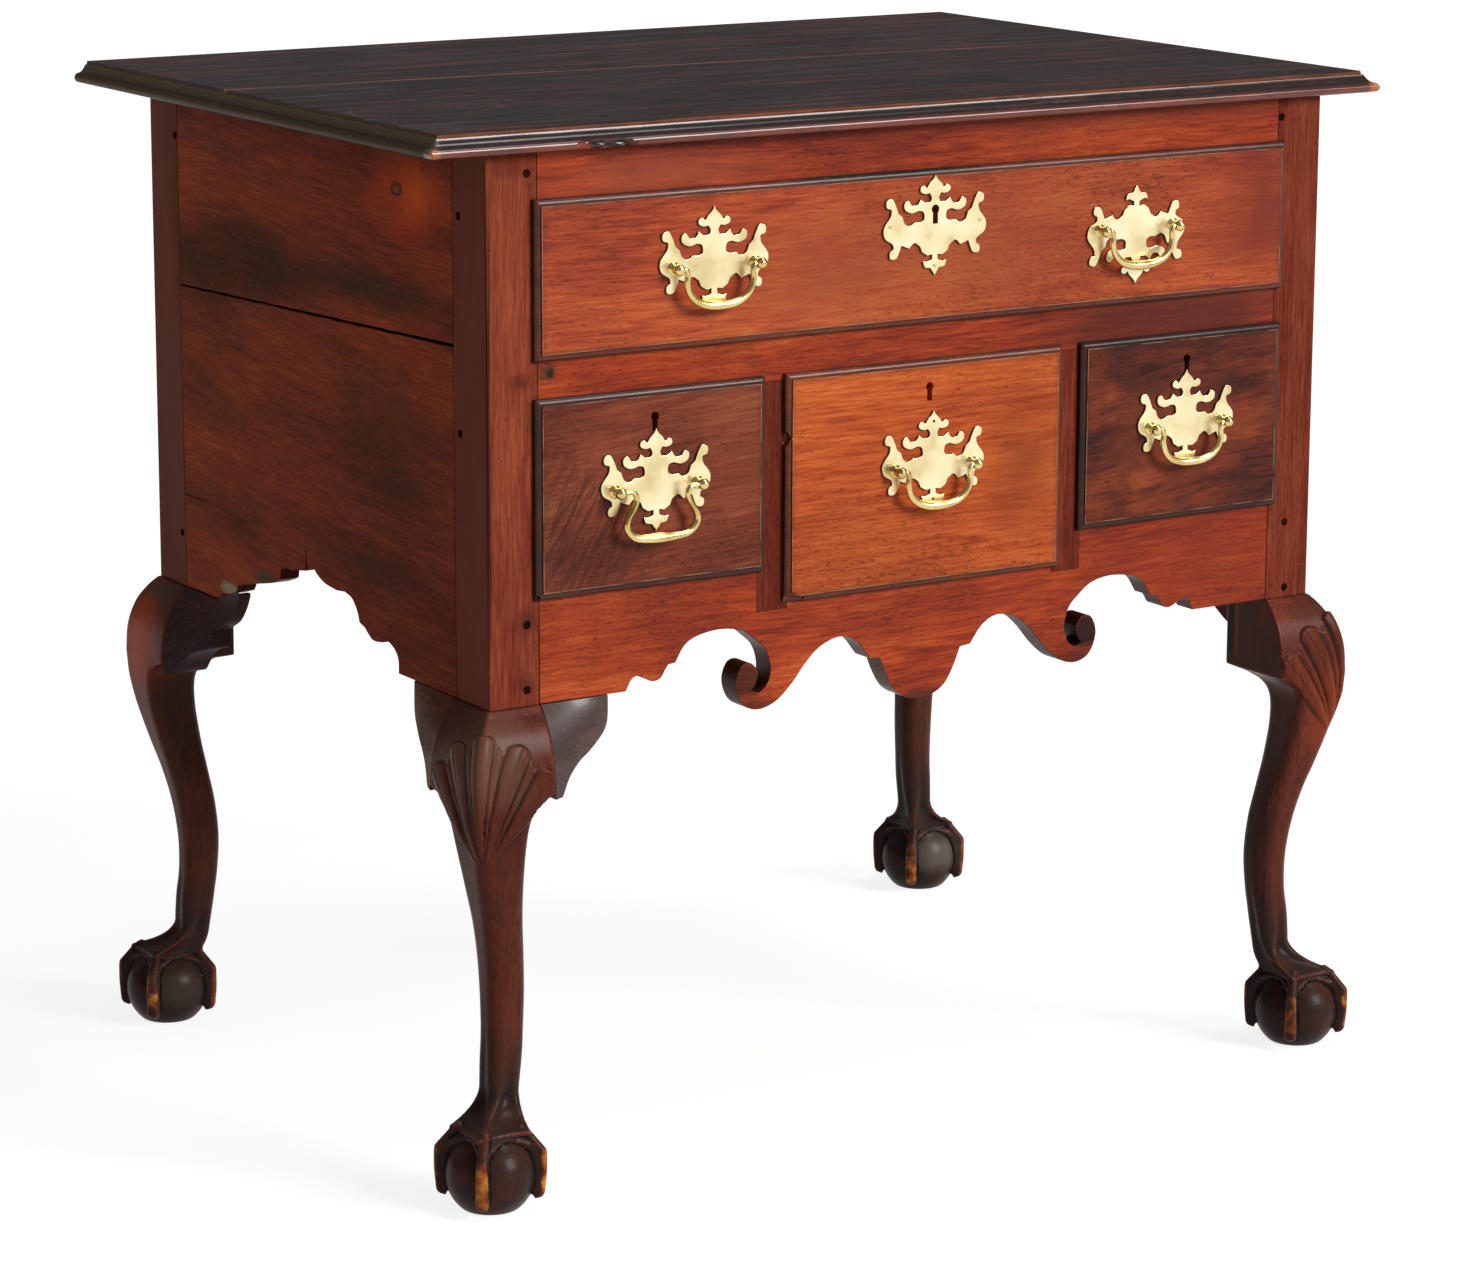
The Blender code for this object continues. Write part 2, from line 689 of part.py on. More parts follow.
join(apron, [boxes_mesh([apron_root, mirrored(apron_root)], "apron_tenons")], "tenons")


# Dividers between the lower drawers, lapped over the face of the apron and tenoned into the middle rail
divider_tenon = ((divider_inner + 0.006, front_y + 0.008, middle_rail_bottom - 0.002),
                 (divider_outer - 0.006, front_y + 0.018, middle_rail_bottom + divider_tenon_height))
lap_box = ((divider_inner, front_y, divider_lap_bottom), (divider_outer, front_y + divider_lap_thickness,
                                                          side_opening_floor + 0.001))
for name, sign in (("divider_left", -1), ("divider_right", 1)):
    line = [(front_y, divider_lap_bottom + fit),
            (front_y + divider_lap_thickness - fit, divider_lap_bottom + fit),
            (front_y + divider_lap_thickness - fit, side_opening_floor + fit),
            (front_y + divider_depth, side_opening_floor + fit),
            (front_y + divider_depth, middle_rail_bottom - fit), (front_y, middle_rail_bottom - fit)]
    lap_line = smooth_line(line, 1.0)
    mesh = outline_mesh(lap_line, divider_width - 2 * fit, facing_side(sign * divider_centre), name)
    divider = add_piece(name, mesh, walnut_front)
    boxes = [divider_tenon if sign > 0 else mirrored(divider_tenon)]
    join(divider, [boxes_mesh(boxes, name + "_tenon")], "tenon")

low, high = lap_box
lap_cut = ((low[0], low[1] - 0.002, low[2]), (high[0], high[1], high[2] + 0.001))
cut(apron, [boxes_mesh([lap_cut], "lap"), boxes_mesh([mirrored(lap_cut)], "lap")], "lap")
tenon_cut = grown(divider_tenon, fit)
cut(middle_rail, [boxes_mesh([tenon_cut], "mortise"), boxes_mesh([mirrored(tenon_cut)], "mortise")], "mortise")


# Runners of the lower side drawers and of the long drawer: a shelf with a guide that lies flush with the posts
def side_runner(name, sign, top, front_end):
    outer = side_inner_x - fit
    inner = post_inner_x - runner_reach
    shelf_front = front_end + fit
    notch_front = max(shelf_front, -post_inner_y + fit)
    line = [(inner, shelf_front), (post_inner_x - fit, shelf_front), (post_inner_x - fit, notch_front),
            (outer, notch_front), (outer, post_inner_y - fit), (post_inner_x - fit, post_inner_y - fit),
            (post_inner_x - fit, back_front_y - fit), (inner, back_front_y - fit)]
    if notch_front == shelf_front:
        del line[1:3]
    place = Matrix.Translation((0, 0, top - runner_thickness / 2))
    if sign < 0:
        place = place @ Matrix.Diagonal((-1, 1, 1, 1))
    runner = add_piece(name, outline_mesh([Vector(p) for p in line], runner_thickness, place, name), pine)
    guide = ((post_inner_x, notch_front, top - 0.002), (outer, post_inner_y - fit, top + guide_height))
    join(runner, [boxes_mesh([guide if sign > 0 else mirrored(guide)], name + "_guide")], "guide")


apron_back_y = front_y + apron_thickness
middle_rail_back_y = front_y + middle_rail_depth
for side, sign in (("left", -1), ("right", 1)):
    side_runner(f"runner_lower_{side}", sign, side_opening_floor, apron_back_y)
    side_runner(f"runner_top_{side}", sign, middle_rail_top, middle_rail_back_y)

# Runners behind the dividers: one shelf for the side drawer, a lower one for the middle drawer
for side, sign in (("left", -1), ("right", 1)):
    line = [(divider_outer + runner_reach * 0.8, side_opening_floor - runner_thickness),
            (divider_outer + runner_reach * 0.8, side_opening_floor), (divider_outer, side_opening_floor),
            (divider_outer, side_opening_floor + guide_height),
            (divider_inner, side_opening_floor + guide_height),
            (divider_inner, centre_opening_floor), (divider_inner - runner_reach * 0.8, centre_opening_floor),
            (divider_inner - runner_reach * 0.8, centre_opening_floor - runner_thickness),
            (divider_outer, centre_opening_floor - runner_thickness),
            (divider_outer, side_opening_floor - runner_thickness)]
    line = [Vector((sign * u, v)) for u, v in line]
    start = front_y + divider_depth + fit
    length = back_front_y - fit - start
    runner = add_piece(f"runner_divider_{side}",
                       outline_mesh(line, length, facing_front(start + length / 2), "runner"), pine)


# Drawers
def dovetails(count, z_low, z_high, root, start, end, grow=0.0):
    # Corners (y, z) of each tail, going up, between the planes start and end. A tail has its narrow
    # width in the plane of its root and widens from there, and half pins are left above and below.
    pitch = (z_high - z_low) / count
    onwards = 1 if end > start else -1
    near = pitch * tail_share + (start - root) * onwards * tail_slope + grow
    far = pitch * tail_share + (end - root) * onwards * tail_slope + grow
    middles = [z_low + pitch * (k + 0.5) for k in range(count)]
    return [[(start, m - near), (end, m - far), (end, m + far), (start, m + near)] for m in middles]


def sockets(tails, box_low, box_high, name):
    # Cutters for the tails of both drawer sides, from outside the corner to the inner face of each side
    past = 0.002
    meshes = []
    for x0, x1 in ((box_low - past, box_low + drawer_side_thickness + fit),
                   (box_high - drawer_side_thickness - fit, box_high + past)):
        place = facing_side((x0 + x1) / 2)
        meshes += [outline_mesh([Vector(p) for p in tail], x1 - x0, place, name) for tail in tails]
    return meshes


# The thumb moulding of a drawer front: how far the step stands proud of the case, and its inset from the lip
thumb = [
    (0.0000, 0.0000), (0.0024, 0.0000), (0.0038, 0.0008), (0.0048, 0.0024), (0.0053, 0.0046),
    (lip_proud, 0.0052),
]


def front_mesh(x_low, x_high, z_low, z_high, name):
    def ring(y, inset, box):
        x0, x1, z0, z1 = box
        return [(x0 + inset, y, z0 + inset), (x1 - inset, y, z0 + inset), (x1 - inset, y, z1 - inset),
                (x0 + inset, y, z1 - inset)]
    inner = (x_low + slide_clearance, x_high - slide_clearance,
             z_low + slide_clearance, z_high - slide_clearance)
    lip = (x_low - lip_overlap, x_high + lip_overlap, z_low - lip_overlap, z_high + lip_overlap)
    lip_back = front_y - fit
    rings = [ring(front_y + drawer_front_depth, 0, inner), ring(lip_back, 0, inner), ring(lip_back, 0, lip)]
    rings += [ring(front_y - proud, inset, lip) for proud, inset in thumb[1:]]
    return loft(rings, name)


def keyhole_mesh(x, z, y_low, y_high, name):
    # Round above, with a slot below it
    rounds = [Vector((x + keyhole_radius * cos(a), z + keyhole_radius * sin(a)))
              for a in [radians(-48 + 276 * k / 9) for k in range(10)]]
    line = rounds + [Vector((x + s * keyhole_slot / 2, z - keyhole_drop)) for s in (-1, 1)]
    return outline_mesh(line, y_high - y_low, facing_front((y_low + y_high) / 2), name)


def cylinder_mesh(start, end, radius, steps, name):
    axis = Vector(end) - Vector(start)
    middle = (Vector(end) + Vector(start)) / 2
    place = Matrix.Translation(middle) @ axis.to_track_quat("Z", "Y").to_matrix().to_4x4()
    bm = bmesh.new()
    bmesh.ops.create_cone(bm, cap_ends=True, segments=steps, radius1=radius, radius2=radius, depth=axis.length,
                          matrix=place)
    return finished_mesh(bm, name)


def post_holes(x, z):
    y_front, y_rear = drawer_face_y - 0.002, front_y + drawer_front_depth + 0.002
    return [cylinder_mesh((x + s * post_spacing / 2, y_front, z), (x + s * post_spacing / 2, y_rear, z),
                          post_shank_radius + 0.0006, 8, "post_hole") for s in (-1, 1)]


def drawer(name, opening, tails, pulls, keyhole, front_finish, lock_recess):
    x_low, x_high, z_low, z_high = opening
    holder = bpy.data.objects.new(name + "_slide", None)
    holder.location = ((x_low + x_high) / 2, front_y, (z_low + z_high) / 2)
    parts.objects.link(holder)
    box_low, box_high = x_low + slide_clearance, x_high - slide_clearance
    side_low, side_high = z_low + fit, z_high - drawer_side_drop
    front_back_y = front_y + drawer_front_depth
    back_inner_y = drawer_back_y - drawer_back_thickness
    bottom_low = z_low + drawer_bottom_rise
    tails_low = bottom_low - 0.006

    bottom_box = ((box_low + drawer_side_thickness - groove_depth + fit, front_back_y - groove_depth + fit,
                   bottom_low),
                  (box_high - drawer_side_thickness + groove_depth - fit, drawer_back_y,
                   bottom_low + drawer_bottom_thickness))
    bottom = board(name + "_bottom", *bottom_box, pine)
    groove_low, groove_high = grown(bottom_box, fit)
    groove = (groove_low, (groove_high[0], groove_high[1] + 0.002, groove_high[2]))

    front = add_piece(name + "_front", front_mesh(x_low, x_high, z_low, z_high, name), front_finish)
    front_sockets = dovetails(tails, tails_low, side_high, front_back_y, front_back_y + 0.002,
                              front_back_y - tail_length, fit)
    cut(front, sockets(front_sockets, box_low, box_high, name), "socket")
    cut(front, [boxes_mesh([groove], "groove")], "groove")
    for x, z in pulls:
        cut(front, post_holes(x, z), "post_hole")
    key_x, key_z = keyhole
    cut(front, [keyhole_mesh(key_x, key_z, drawer_face_y - 0.002, front_back_y + 0.002, "keyhole")], "keyhole")
    if lock_recess:
        cut(front, [boxes_mesh([lock_recess], "recess")], "recess")

    back_low = bottom_low + drawer_bottom_thickness + fit
    back = board(name + "_back", (box_low, back_inner_y, back_low), (box_high, drawer_back_y, side_high), pine)
    back_sockets = dovetails(tails, back_low, side_high, back_inner_y, back_inner_y - 0.002,
                             drawer_back_y + 0.002, fit)
    cut(back, sockets(back_sockets, box_low, box_high, name), "socket")

    sides = []
    for side, x0 in (("left", box_low), ("right", box_high - drawer_side_thickness)):
        line = [(front_back_y + fit, side_low), (drawer_back_y, side_low), (drawer_back_y, back_low - fit)]
        rear_tails = dovetails(tails, back_low, side_high, back_inner_y, back_inner_y - fit, drawer_back_y)
        line += [(back_inner_y - fit, back_low - fit)] + sum(rear_tails, []) + [(back_inner_y - fit, side_high)]
        front_tails = dovetails(tails, tails_low, side_high, front_back_y, front_back_y + fit,
                                front_back_y - tail_length + fit)
        line += [(front_back_y + fit, side_high)] + sum(front_tails, [])[::-1]
        place = facing_side(x0 + drawer_side_thickness / 2)
        mesh = outline_mesh([Vector(p) for p in line], drawer_side_thickness, place, name)
        piece = add_piece(f"{name}_{side}_side", mesh, pine)
        cut(piece, [boxes_mesh([groove], "groove")], "groove")
        sides.append(piece)
    for piece in [bottom, front, back] + sides:
        hang_from(piece, holder)
    return holder


# Pierced plates. Half outline from the top down, as distance from the middle and height over the posts.
plate_edge = [
    (0.0000, 0.0419), (0.0022, 0.0384, "s"), (0.0056, 0.0352, "s"), (0.0074, 0.0322), (0.0098, 0.0340, "s"),
    (0.0130, 0.0328, "s"), (0.0128, 0.0294, "s"), (0.0090, 0.0276, "s"), (0.0050, 0.0280), (0.0034, 0.0250, "s"),
    (0.0046, 0.0218), (0.0090, 0.0218), (0.0128, 0.0246), (0.0160, 0.0204, "s"), (0.0204, 0.0204),
    (0.0232, 0.0240, "s"), (0.0270, 0.0222, "s"), (0.0262, 0.0172, "s"), (0.0205, 0.0146, "s"), (0.0142, 0.0160),
    (0.0104, 0.0148, "s"), (0.0098, 0.0098, "s"), (0.0130, 0.0078), (0.0180, 0.0080), (0.0222, 0.0058, "s"),
    (0.0262, 0.0078, "s"), (0.0284, 0.0130), (0.0318, 0.0156), (0.0340, 0.0212, "s"), (0.0372, 0.0262, "s"),
    (0.0424, 0.0250, "s"), (0.0422, 0.0200, "s"), (0.0380, 0.0182), (0.0390, 0.0134, "s"), (0.0446, 0.0056, "s"),
    (0.0436, -0.0020, "s"), (0.0370, -0.0066, "s"), (0.0362, -0.0100), (0.0394, -0.0124, "s"),
    (0.0386, -0.0172, "s"), (0.0334, -0.0170, "s"), (0.0306, -0.0120, "s"), (0.0292, -0.0082),
    (0.0222, -0.0106), (0.0180, -0.0070, "s"), (0.0130, -0.0098), (0.0112, -0.0140), (0.0066, -0.0168),
    (0.0024, -0.0162), (0.0026, -0.0194), (0.0068, -0.0212), (0.0102, -0.0206), (0.0088, -0.0250, "s"),
    (0.0036, -0.0262), (0.0000, -0.0314),
]


# Each pull is made with its origin on the axis of its bail, midway between the posts
plate_front_y = drawer_face_y - fit - plate_thickness
ball_y = plate_front_y - post_standoff
nut_y = front_y + drawer_front_depth + fit


def plate_mesh(upside, name):
    # Upside is 1, or -1 for a plate that is screwed on upside down
    right = [p for p in plate_edge[1:-1]]
    left = [(-p[0], *p[1:]) for p in reversed(right)]
    line = smooth_line([plate_edge[0]] + right + [plate_edge[-1]] + left, 0.006)
    line = [Vector((upside * p.x, upside * p.y)) for p in line]
    return outline_mesh(line, plate_thickness, facing_front(post_standoff + plate_thickness / 2), name)


def post_mesh(x, name):
    # One turned bolt: ball head, stem, shank through the drawer front, round nut behind it
    place = Matrix.Translation((x, 0, 0)) @ Matrix.Rotation(-pi / 2, 4, "X")
    angles = [radians(40 * k) for k in range(1, 4)]
    ball = [(post_ball_radius * sin(a), -post_ball_radius * cos(a)) for a in angles]
    stem_start = (post_ball_radius ** 2 - post_stem_radius ** 2) ** 0.5
    plate_back = post_standoff + plate_thickness * 0.5
    nut_start = nut_y - ball_y
    profile = [(0, -post_ball_radius)] + ball + [
        (post_stem_radius, stem_start + 0.001), (post_stem_radius, plate_back), (post_shank_radius, plate_back),
        (post_shank_radius, nut_start), (nut_radius, nut_start), (nut_radius * 0.8, nut_start + nut_thickness),
        (0, nut_start + nut_thickness + shank_end)]
    return turned_mesh(profile, 8, place, name)


# The bails, from the middle to the right hole: distance from the middle, drop below the posts, radius
pin_end = post_spacing / 2 - post_ball_radius + bail_hole_depth - fit
plain_bail = [
    (0.0000, 0.0270, 0.0033), (0.0100, 0.0264, 0.0031), (0.0190, 0.0232, 0.0028), (0.0250, 0.0172, 0.0025),
    (0.0272, 0.0100, 0.0022), (0.0268, 0.0045, 0.0020), (0.0274, 0.0012, 0.0019), (0.0288, 0.0000, 0.0017),
]
swan_bail = [
    (0.0000, 0.0345, 0.0036), (0.0110, 0.0342, 0.0032), (0.0220, 0.0325, 0.0028), (0.0285, 0.0262, 0.0025),
    (0.0280, 0.0190, 0.0023), (0.0232, 0.0115, 0.0021), (0.0208, 0.0060, 0.0020), (0.0222, 0.0015, 0.0019),
    (0.0255, 0.0000, 0.0017),
]


def bail_mesh(half, name):
    right = half[1:] + [(pin_end - 0.0016, 0.0, bail_pin_radius), (pin_end, 0.0, bail_pin_radius)]
    whole = [(-u, d, r) for u, d, r in reversed(right)] + [half[0]] + right
    return tube_mesh([(u, 0, -d) for u, d, r in whole], [r for u, d, r in whole], name)


def pull(name, x, z, bail_half, holder, upside=1):
    plate = add_piece(f"{name}_plate", plate_mesh(upside, name), brass)
    join(plate, [post_mesh(s * post_spacing / 2, name) for s in (-1, 1)], "post")
    holes = []
    for s in (-1, 1):
        face = s * (post_spacing / 2 - post_ball_radius)
        holes.append(cylinder_mesh((face - s * 0.002, 0, 0), (face + s * bail_hole_depth, 0, 0),
                                   bail_hole_radius, 8, "bail_hole"))
    cut(plate, holes, "bail_hole")
    bail = add_piece(f"{name}_bail", bail_mesh(bail_half, name), brass)
    for piece in (plate, bail):
        piece.location = (x, ball_y, z)
        hang_from(piece, holder)


# Openings of the four drawers: left, right, bottom, top
long_opening = (-post_inner_x, post_inner_x, middle_rail_top, top_rail_bottom)
left_opening = (-post_inner_x, -divider_outer, side_opening_floor, middle_rail_bottom)
centre_opening = (-divider_inner, divider_inner, centre_opening_floor, middle_rail_bottom)
right_opening = (divider_outer, post_inner_x, side_opening_floor, middle_rail_bottom)


def in_opening(opening, across, up):
    # A point on a drawer front, measured from the middle of its opening
    return (opening[0] + opening[1]) / 2 + across, (opening[2] + opening[3]) / 2 + up


def below_top(opening, across, drop):
    # A point on a drawer front, measured from its middle and down from the top of its opening
    return (opening[0] + opening[1]) / 2 + across, opening[3] - drop


long_pull_out = post_inner_x - long_pull_inset
long_pulls = [in_opening(long_opening, s * long_pull_out, 0.0010) for s in (-1, 1)]
left_pull = in_opening(left_opening, 0.0010, 0.0010)
centre_pull = in_opening(centre_opening, 0.0040, 0.00455)
right_pull = in_opening(right_opening, 0.0020, 0.0012)
long_key = below_top(long_opening, 0.0030, long_key_drop)
left_key = below_top(left_opening, 0.0010, lower_key_drop)
centre_key = below_top(centre_opening, 0.0012, lower_key_drop)
right_key = below_top(right_opening, 0.0030, lower_key_drop)


def lock_box(key, opening):
    # The lock case hangs behind the keyhole, let into the drawer front by half its thickness
    x = key[0]
    y = front_y + drawer_front_depth
    top = opening[3] - slide_clearance
    return ((x - lock_width / 2, y - lock_thickness / 2, top - lock_height),
            (x + lock_width / 2, y + lock_thickness / 2, top))


def recess_for(box):
    low, high = grown(box, fit)
    return low, (high[0], high[1] + 0.002, high[2] + 0.002)


long_lock = lock_box(long_key, long_opening)
right_lock = lock_box(right_key, right_opening)
long_drawer = drawer("drawer_long", long_opening, 3, long_pulls, long_key, walnut_drawer, recess_for(long_lock))
left_drawer = drawer("drawer_left", left_opening, 3, [left_pull], left_key, walnut_dark_drawer, None)
centre_drawer = drawer("drawer_centre", centre_opening, 3, [centre_pull], centre_key, walnut_light_drawer, None)
right_drawer = drawer("drawer_right", right_opening, 3, [right_pull], right_key, walnut_dark_drawer,
                      recess_for(right_lock))

pull("pull_long_left", *long_pulls[0], plain_bail, long_drawer)
pull("pull_long_right", *long_pulls[1], plain_bail, long_drawer, -1)
pull("pull_left", *left_pull, swan_bail, left_drawer)
pull("pull_centre", *centre_pull, plain_bail, centre_drawer)
pull("pull_right", *right_pull, plain_bail, right_drawer)

escutcheon = add_piece("escutcheon", plate_mesh(1, "escutcheon"), brass)
escutcheon_hole = keyhole_mesh(0, escutcheon_key_rise, post_standoff - 0.002, post_standoff + 0.004, "keyhole")
cut(escutcheon, [escutcheon_hole], "keyhole")
escutcheon.location = (long_key[0], ball_y, long_key[1] - escutcheon_key_rise)
hang_from(escutcheon, long_drawer)


# Locks. The long drawer's lock has its bolt, which rises into a mortise in the top rail.
def lock_case(name, box, key, holder):
    case = board(name, *box, iron)
    cut(case, [keyhole_mesh(*key, box[0][1] - 0.002, box[0][1] + lock_thickness * 0.6, "keyhole")], "keyhole")
    hang_from(case, holder)
    return case


long_case = lock_case("lock_long_case", long_lock, long_key, long_drawer)
lock_case("lock_right_case", right_lock, right_key, right_drawer)
bolt_x = long_key[0] + 0.014
bolt_y = (long_lock[0][1] + long_lock[1][1]) / 2
bolt_top = long_lock[1][2]
bolt_box = ((bolt_x - bolt_width / 2, bolt_y - bolt_thickness / 2, bolt_top - bolt_height),
            (bolt_x + bolt_width / 2, bolt_y + bolt_thickness / 2, bolt_top))
bolt_mesh = boxes_mesh([bolt_box], "lock_long_bolt")
bolt = add_piece("lock_long_bolt", bolt_mesh, brass, origin=(bolt_x, bolt_y, bolt_top))
hang_from(bolt, long_drawer)
low, high = grown(bolt_box, fit)
cut(long_case, [boxes_mesh([(low, (high[0], high[1], high[2] + 0.002))], "bolt_slot")], "bolt_slot")
low, high = grown(bolt_box, 0.0008)
bolt_room = ((low[0], low[1], top_rail_bottom - 0.002), (high[0], high[1], bolt_top + bolt_travel + 0.002))
cut(top_rail, [boxes_mesh([bolt_room], "bolt_mortise")], "bolt_mortise")

for piece in parts.objects:
    if piece.type == "MESH":
        piece.data.shade_smooth()
        piece.data.set_sharp_from_angle(angle=radians(32))
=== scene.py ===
from math import atan2, ceil, cos, hypot, pi, radians, sin

import bmesh
import bpy
import numpy as np
from mathutils import Matrix, Vector, noise


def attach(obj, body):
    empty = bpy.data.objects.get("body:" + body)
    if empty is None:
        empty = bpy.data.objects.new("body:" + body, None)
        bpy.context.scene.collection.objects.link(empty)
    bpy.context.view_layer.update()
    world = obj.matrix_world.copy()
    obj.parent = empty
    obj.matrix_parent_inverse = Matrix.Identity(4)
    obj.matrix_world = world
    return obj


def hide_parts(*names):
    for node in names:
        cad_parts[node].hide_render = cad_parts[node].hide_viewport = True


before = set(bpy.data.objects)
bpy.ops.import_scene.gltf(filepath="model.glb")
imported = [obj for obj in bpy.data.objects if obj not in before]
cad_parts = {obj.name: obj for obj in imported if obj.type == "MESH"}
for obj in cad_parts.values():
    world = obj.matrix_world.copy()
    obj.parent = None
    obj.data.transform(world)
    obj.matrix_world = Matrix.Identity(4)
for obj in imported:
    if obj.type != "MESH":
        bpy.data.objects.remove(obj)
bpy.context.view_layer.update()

print("stage: packed frame loaded,", len(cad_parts), "nodes")

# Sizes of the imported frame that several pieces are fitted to, in metres
caseSizes = {
    "halfWidth": 0.362, "halfDepth": 0.261, "bottom": 0.36, "top": 0.746, "postInnerX": 0.322,
    "postInnerY": 0.2145, "board": 0.016, "fit": 0.0003, "drawerFaceY": -0.2672, "bailY": -0.277,
    "sideFloor": 0.439, "centreFloor": 0.4135, "railBottom": 0.571, "railTop": 0.606, "topRail": 0.709,
    "dividerIn": 0.117, "dividerOut": 0.143,
}
frontY = -caseSizes["halfDepth"]


# Materials. Colours are sRGB hex values, and adding a node gives the socket of its result
def linearColour(hexColour):
    channels = [int(hexColour[i:i + 2], 16) / 255 for i in (1, 3, 5)]
    return [c / 12.92 if c <= 0.04045 else ((c + 0.055) / 1.055) ** 2.4 for c in channels] + [1.0]


def addNode(tree, kind, values, output=0):
    # Sockets are linked and hex colours turned linear. Other values are attributes of the node or, where it
    # has none of that name, inputs. Stops of a colour ramp are (place, hex colour or plain share)
    node = tree.nodes.new(kind)
    for key, value in values.items():
        if isinstance(value, str) and value.startswith("#"):
            value = linearColour(value)
        if isinstance(value, bpy.types.NodeSocket):
            tree.links.new(value, node.inputs[key])
        elif key == "stops":
            setStops(node.color_ramp.elements, value)
        elif isinstance(key, str) and hasattr(node, key):
            setattr(node, key, value)
        else:
            node.inputs[key].default_value = value
    return node.outputs[output]


def setStops(elements, stops):
    while len(elements) < len(stops):
        elements.new(0.5)
    for element, (at, tone) in zip(elements, stops):
        element.position = at
        element.color = linearColour(tone) if isinstance(tone, str) else [tone] * 3 + [1.0]


def facing(tree, letter):
    # 1 where the face looks along the letter's axis, 0 where it looks across it
    return addNode(tree, "ShaderNodeMath", {"operation": "ABSOLUTE", 0: addNode(tree, "ShaderNodeSeparateXYZ",
            {"Vector": addNode(tree, "ShaderNodeTexCoord", {}, "Normal")}, letter)})


def around(tree, place, centre, size):
    # The place measured from a centre, in shares of a size
    return addNode(tree, "ShaderNodeVectorMath", {"operation": "DIVIDE", 0: addNode(tree, "ShaderNodeVectorMath",
            {"operation": "SUBTRACT", 0: place, 1: centre}), 1: size})


def feed(tree, sockets):
    for key, socket in sockets.items():
        tree.links.new(socket, tree.nodes["Principled BSDF"].inputs[key])


def freshMaterial(name, settings):
    material = bpy.data.materials.new(name)
    material.use_nodes = True
    tree = material.node_tree
    for key, value in settings.items():
        tree.nodes["Principled BSDF"].inputs[key].default_value = value
    return material, tree, addNode(tree, "ShaderNodeTexCoord", {}, "Object")


# Walnut: what a board has unless its own look says otherwise. Tones run from dark to light grain
usualWalnut = {
    "specular": 0.2, "coat": 0.0, "coatRoughness": 0.15, "wander": 0.012, "turn": (0, 0, 0), "cloudScale": 13.0,
    "cloudLong": 0.18, "cloud": 0.4, "streakScale": 230.0, "streakLong": 0.06, "streak": 0.2, "swirl": 0.3,
    "fibre": 0.26, "patches": 7.0, "patchLong": 1.0, "ageFrom": 0.46, "ageTo": 0.66, "age": 0.5,
    "poreTone": "#34140E", "dust": 0.0, "glossy": 0.3, "dull": 0.46, "bump": 0.2, "marks": [],
}


def grainStretch(axis, amount):
    # Stretch of a pattern along the grain, for the board's own direction
    return tuple(amount if letter == axis else 1.0 for letter in "XYZ")


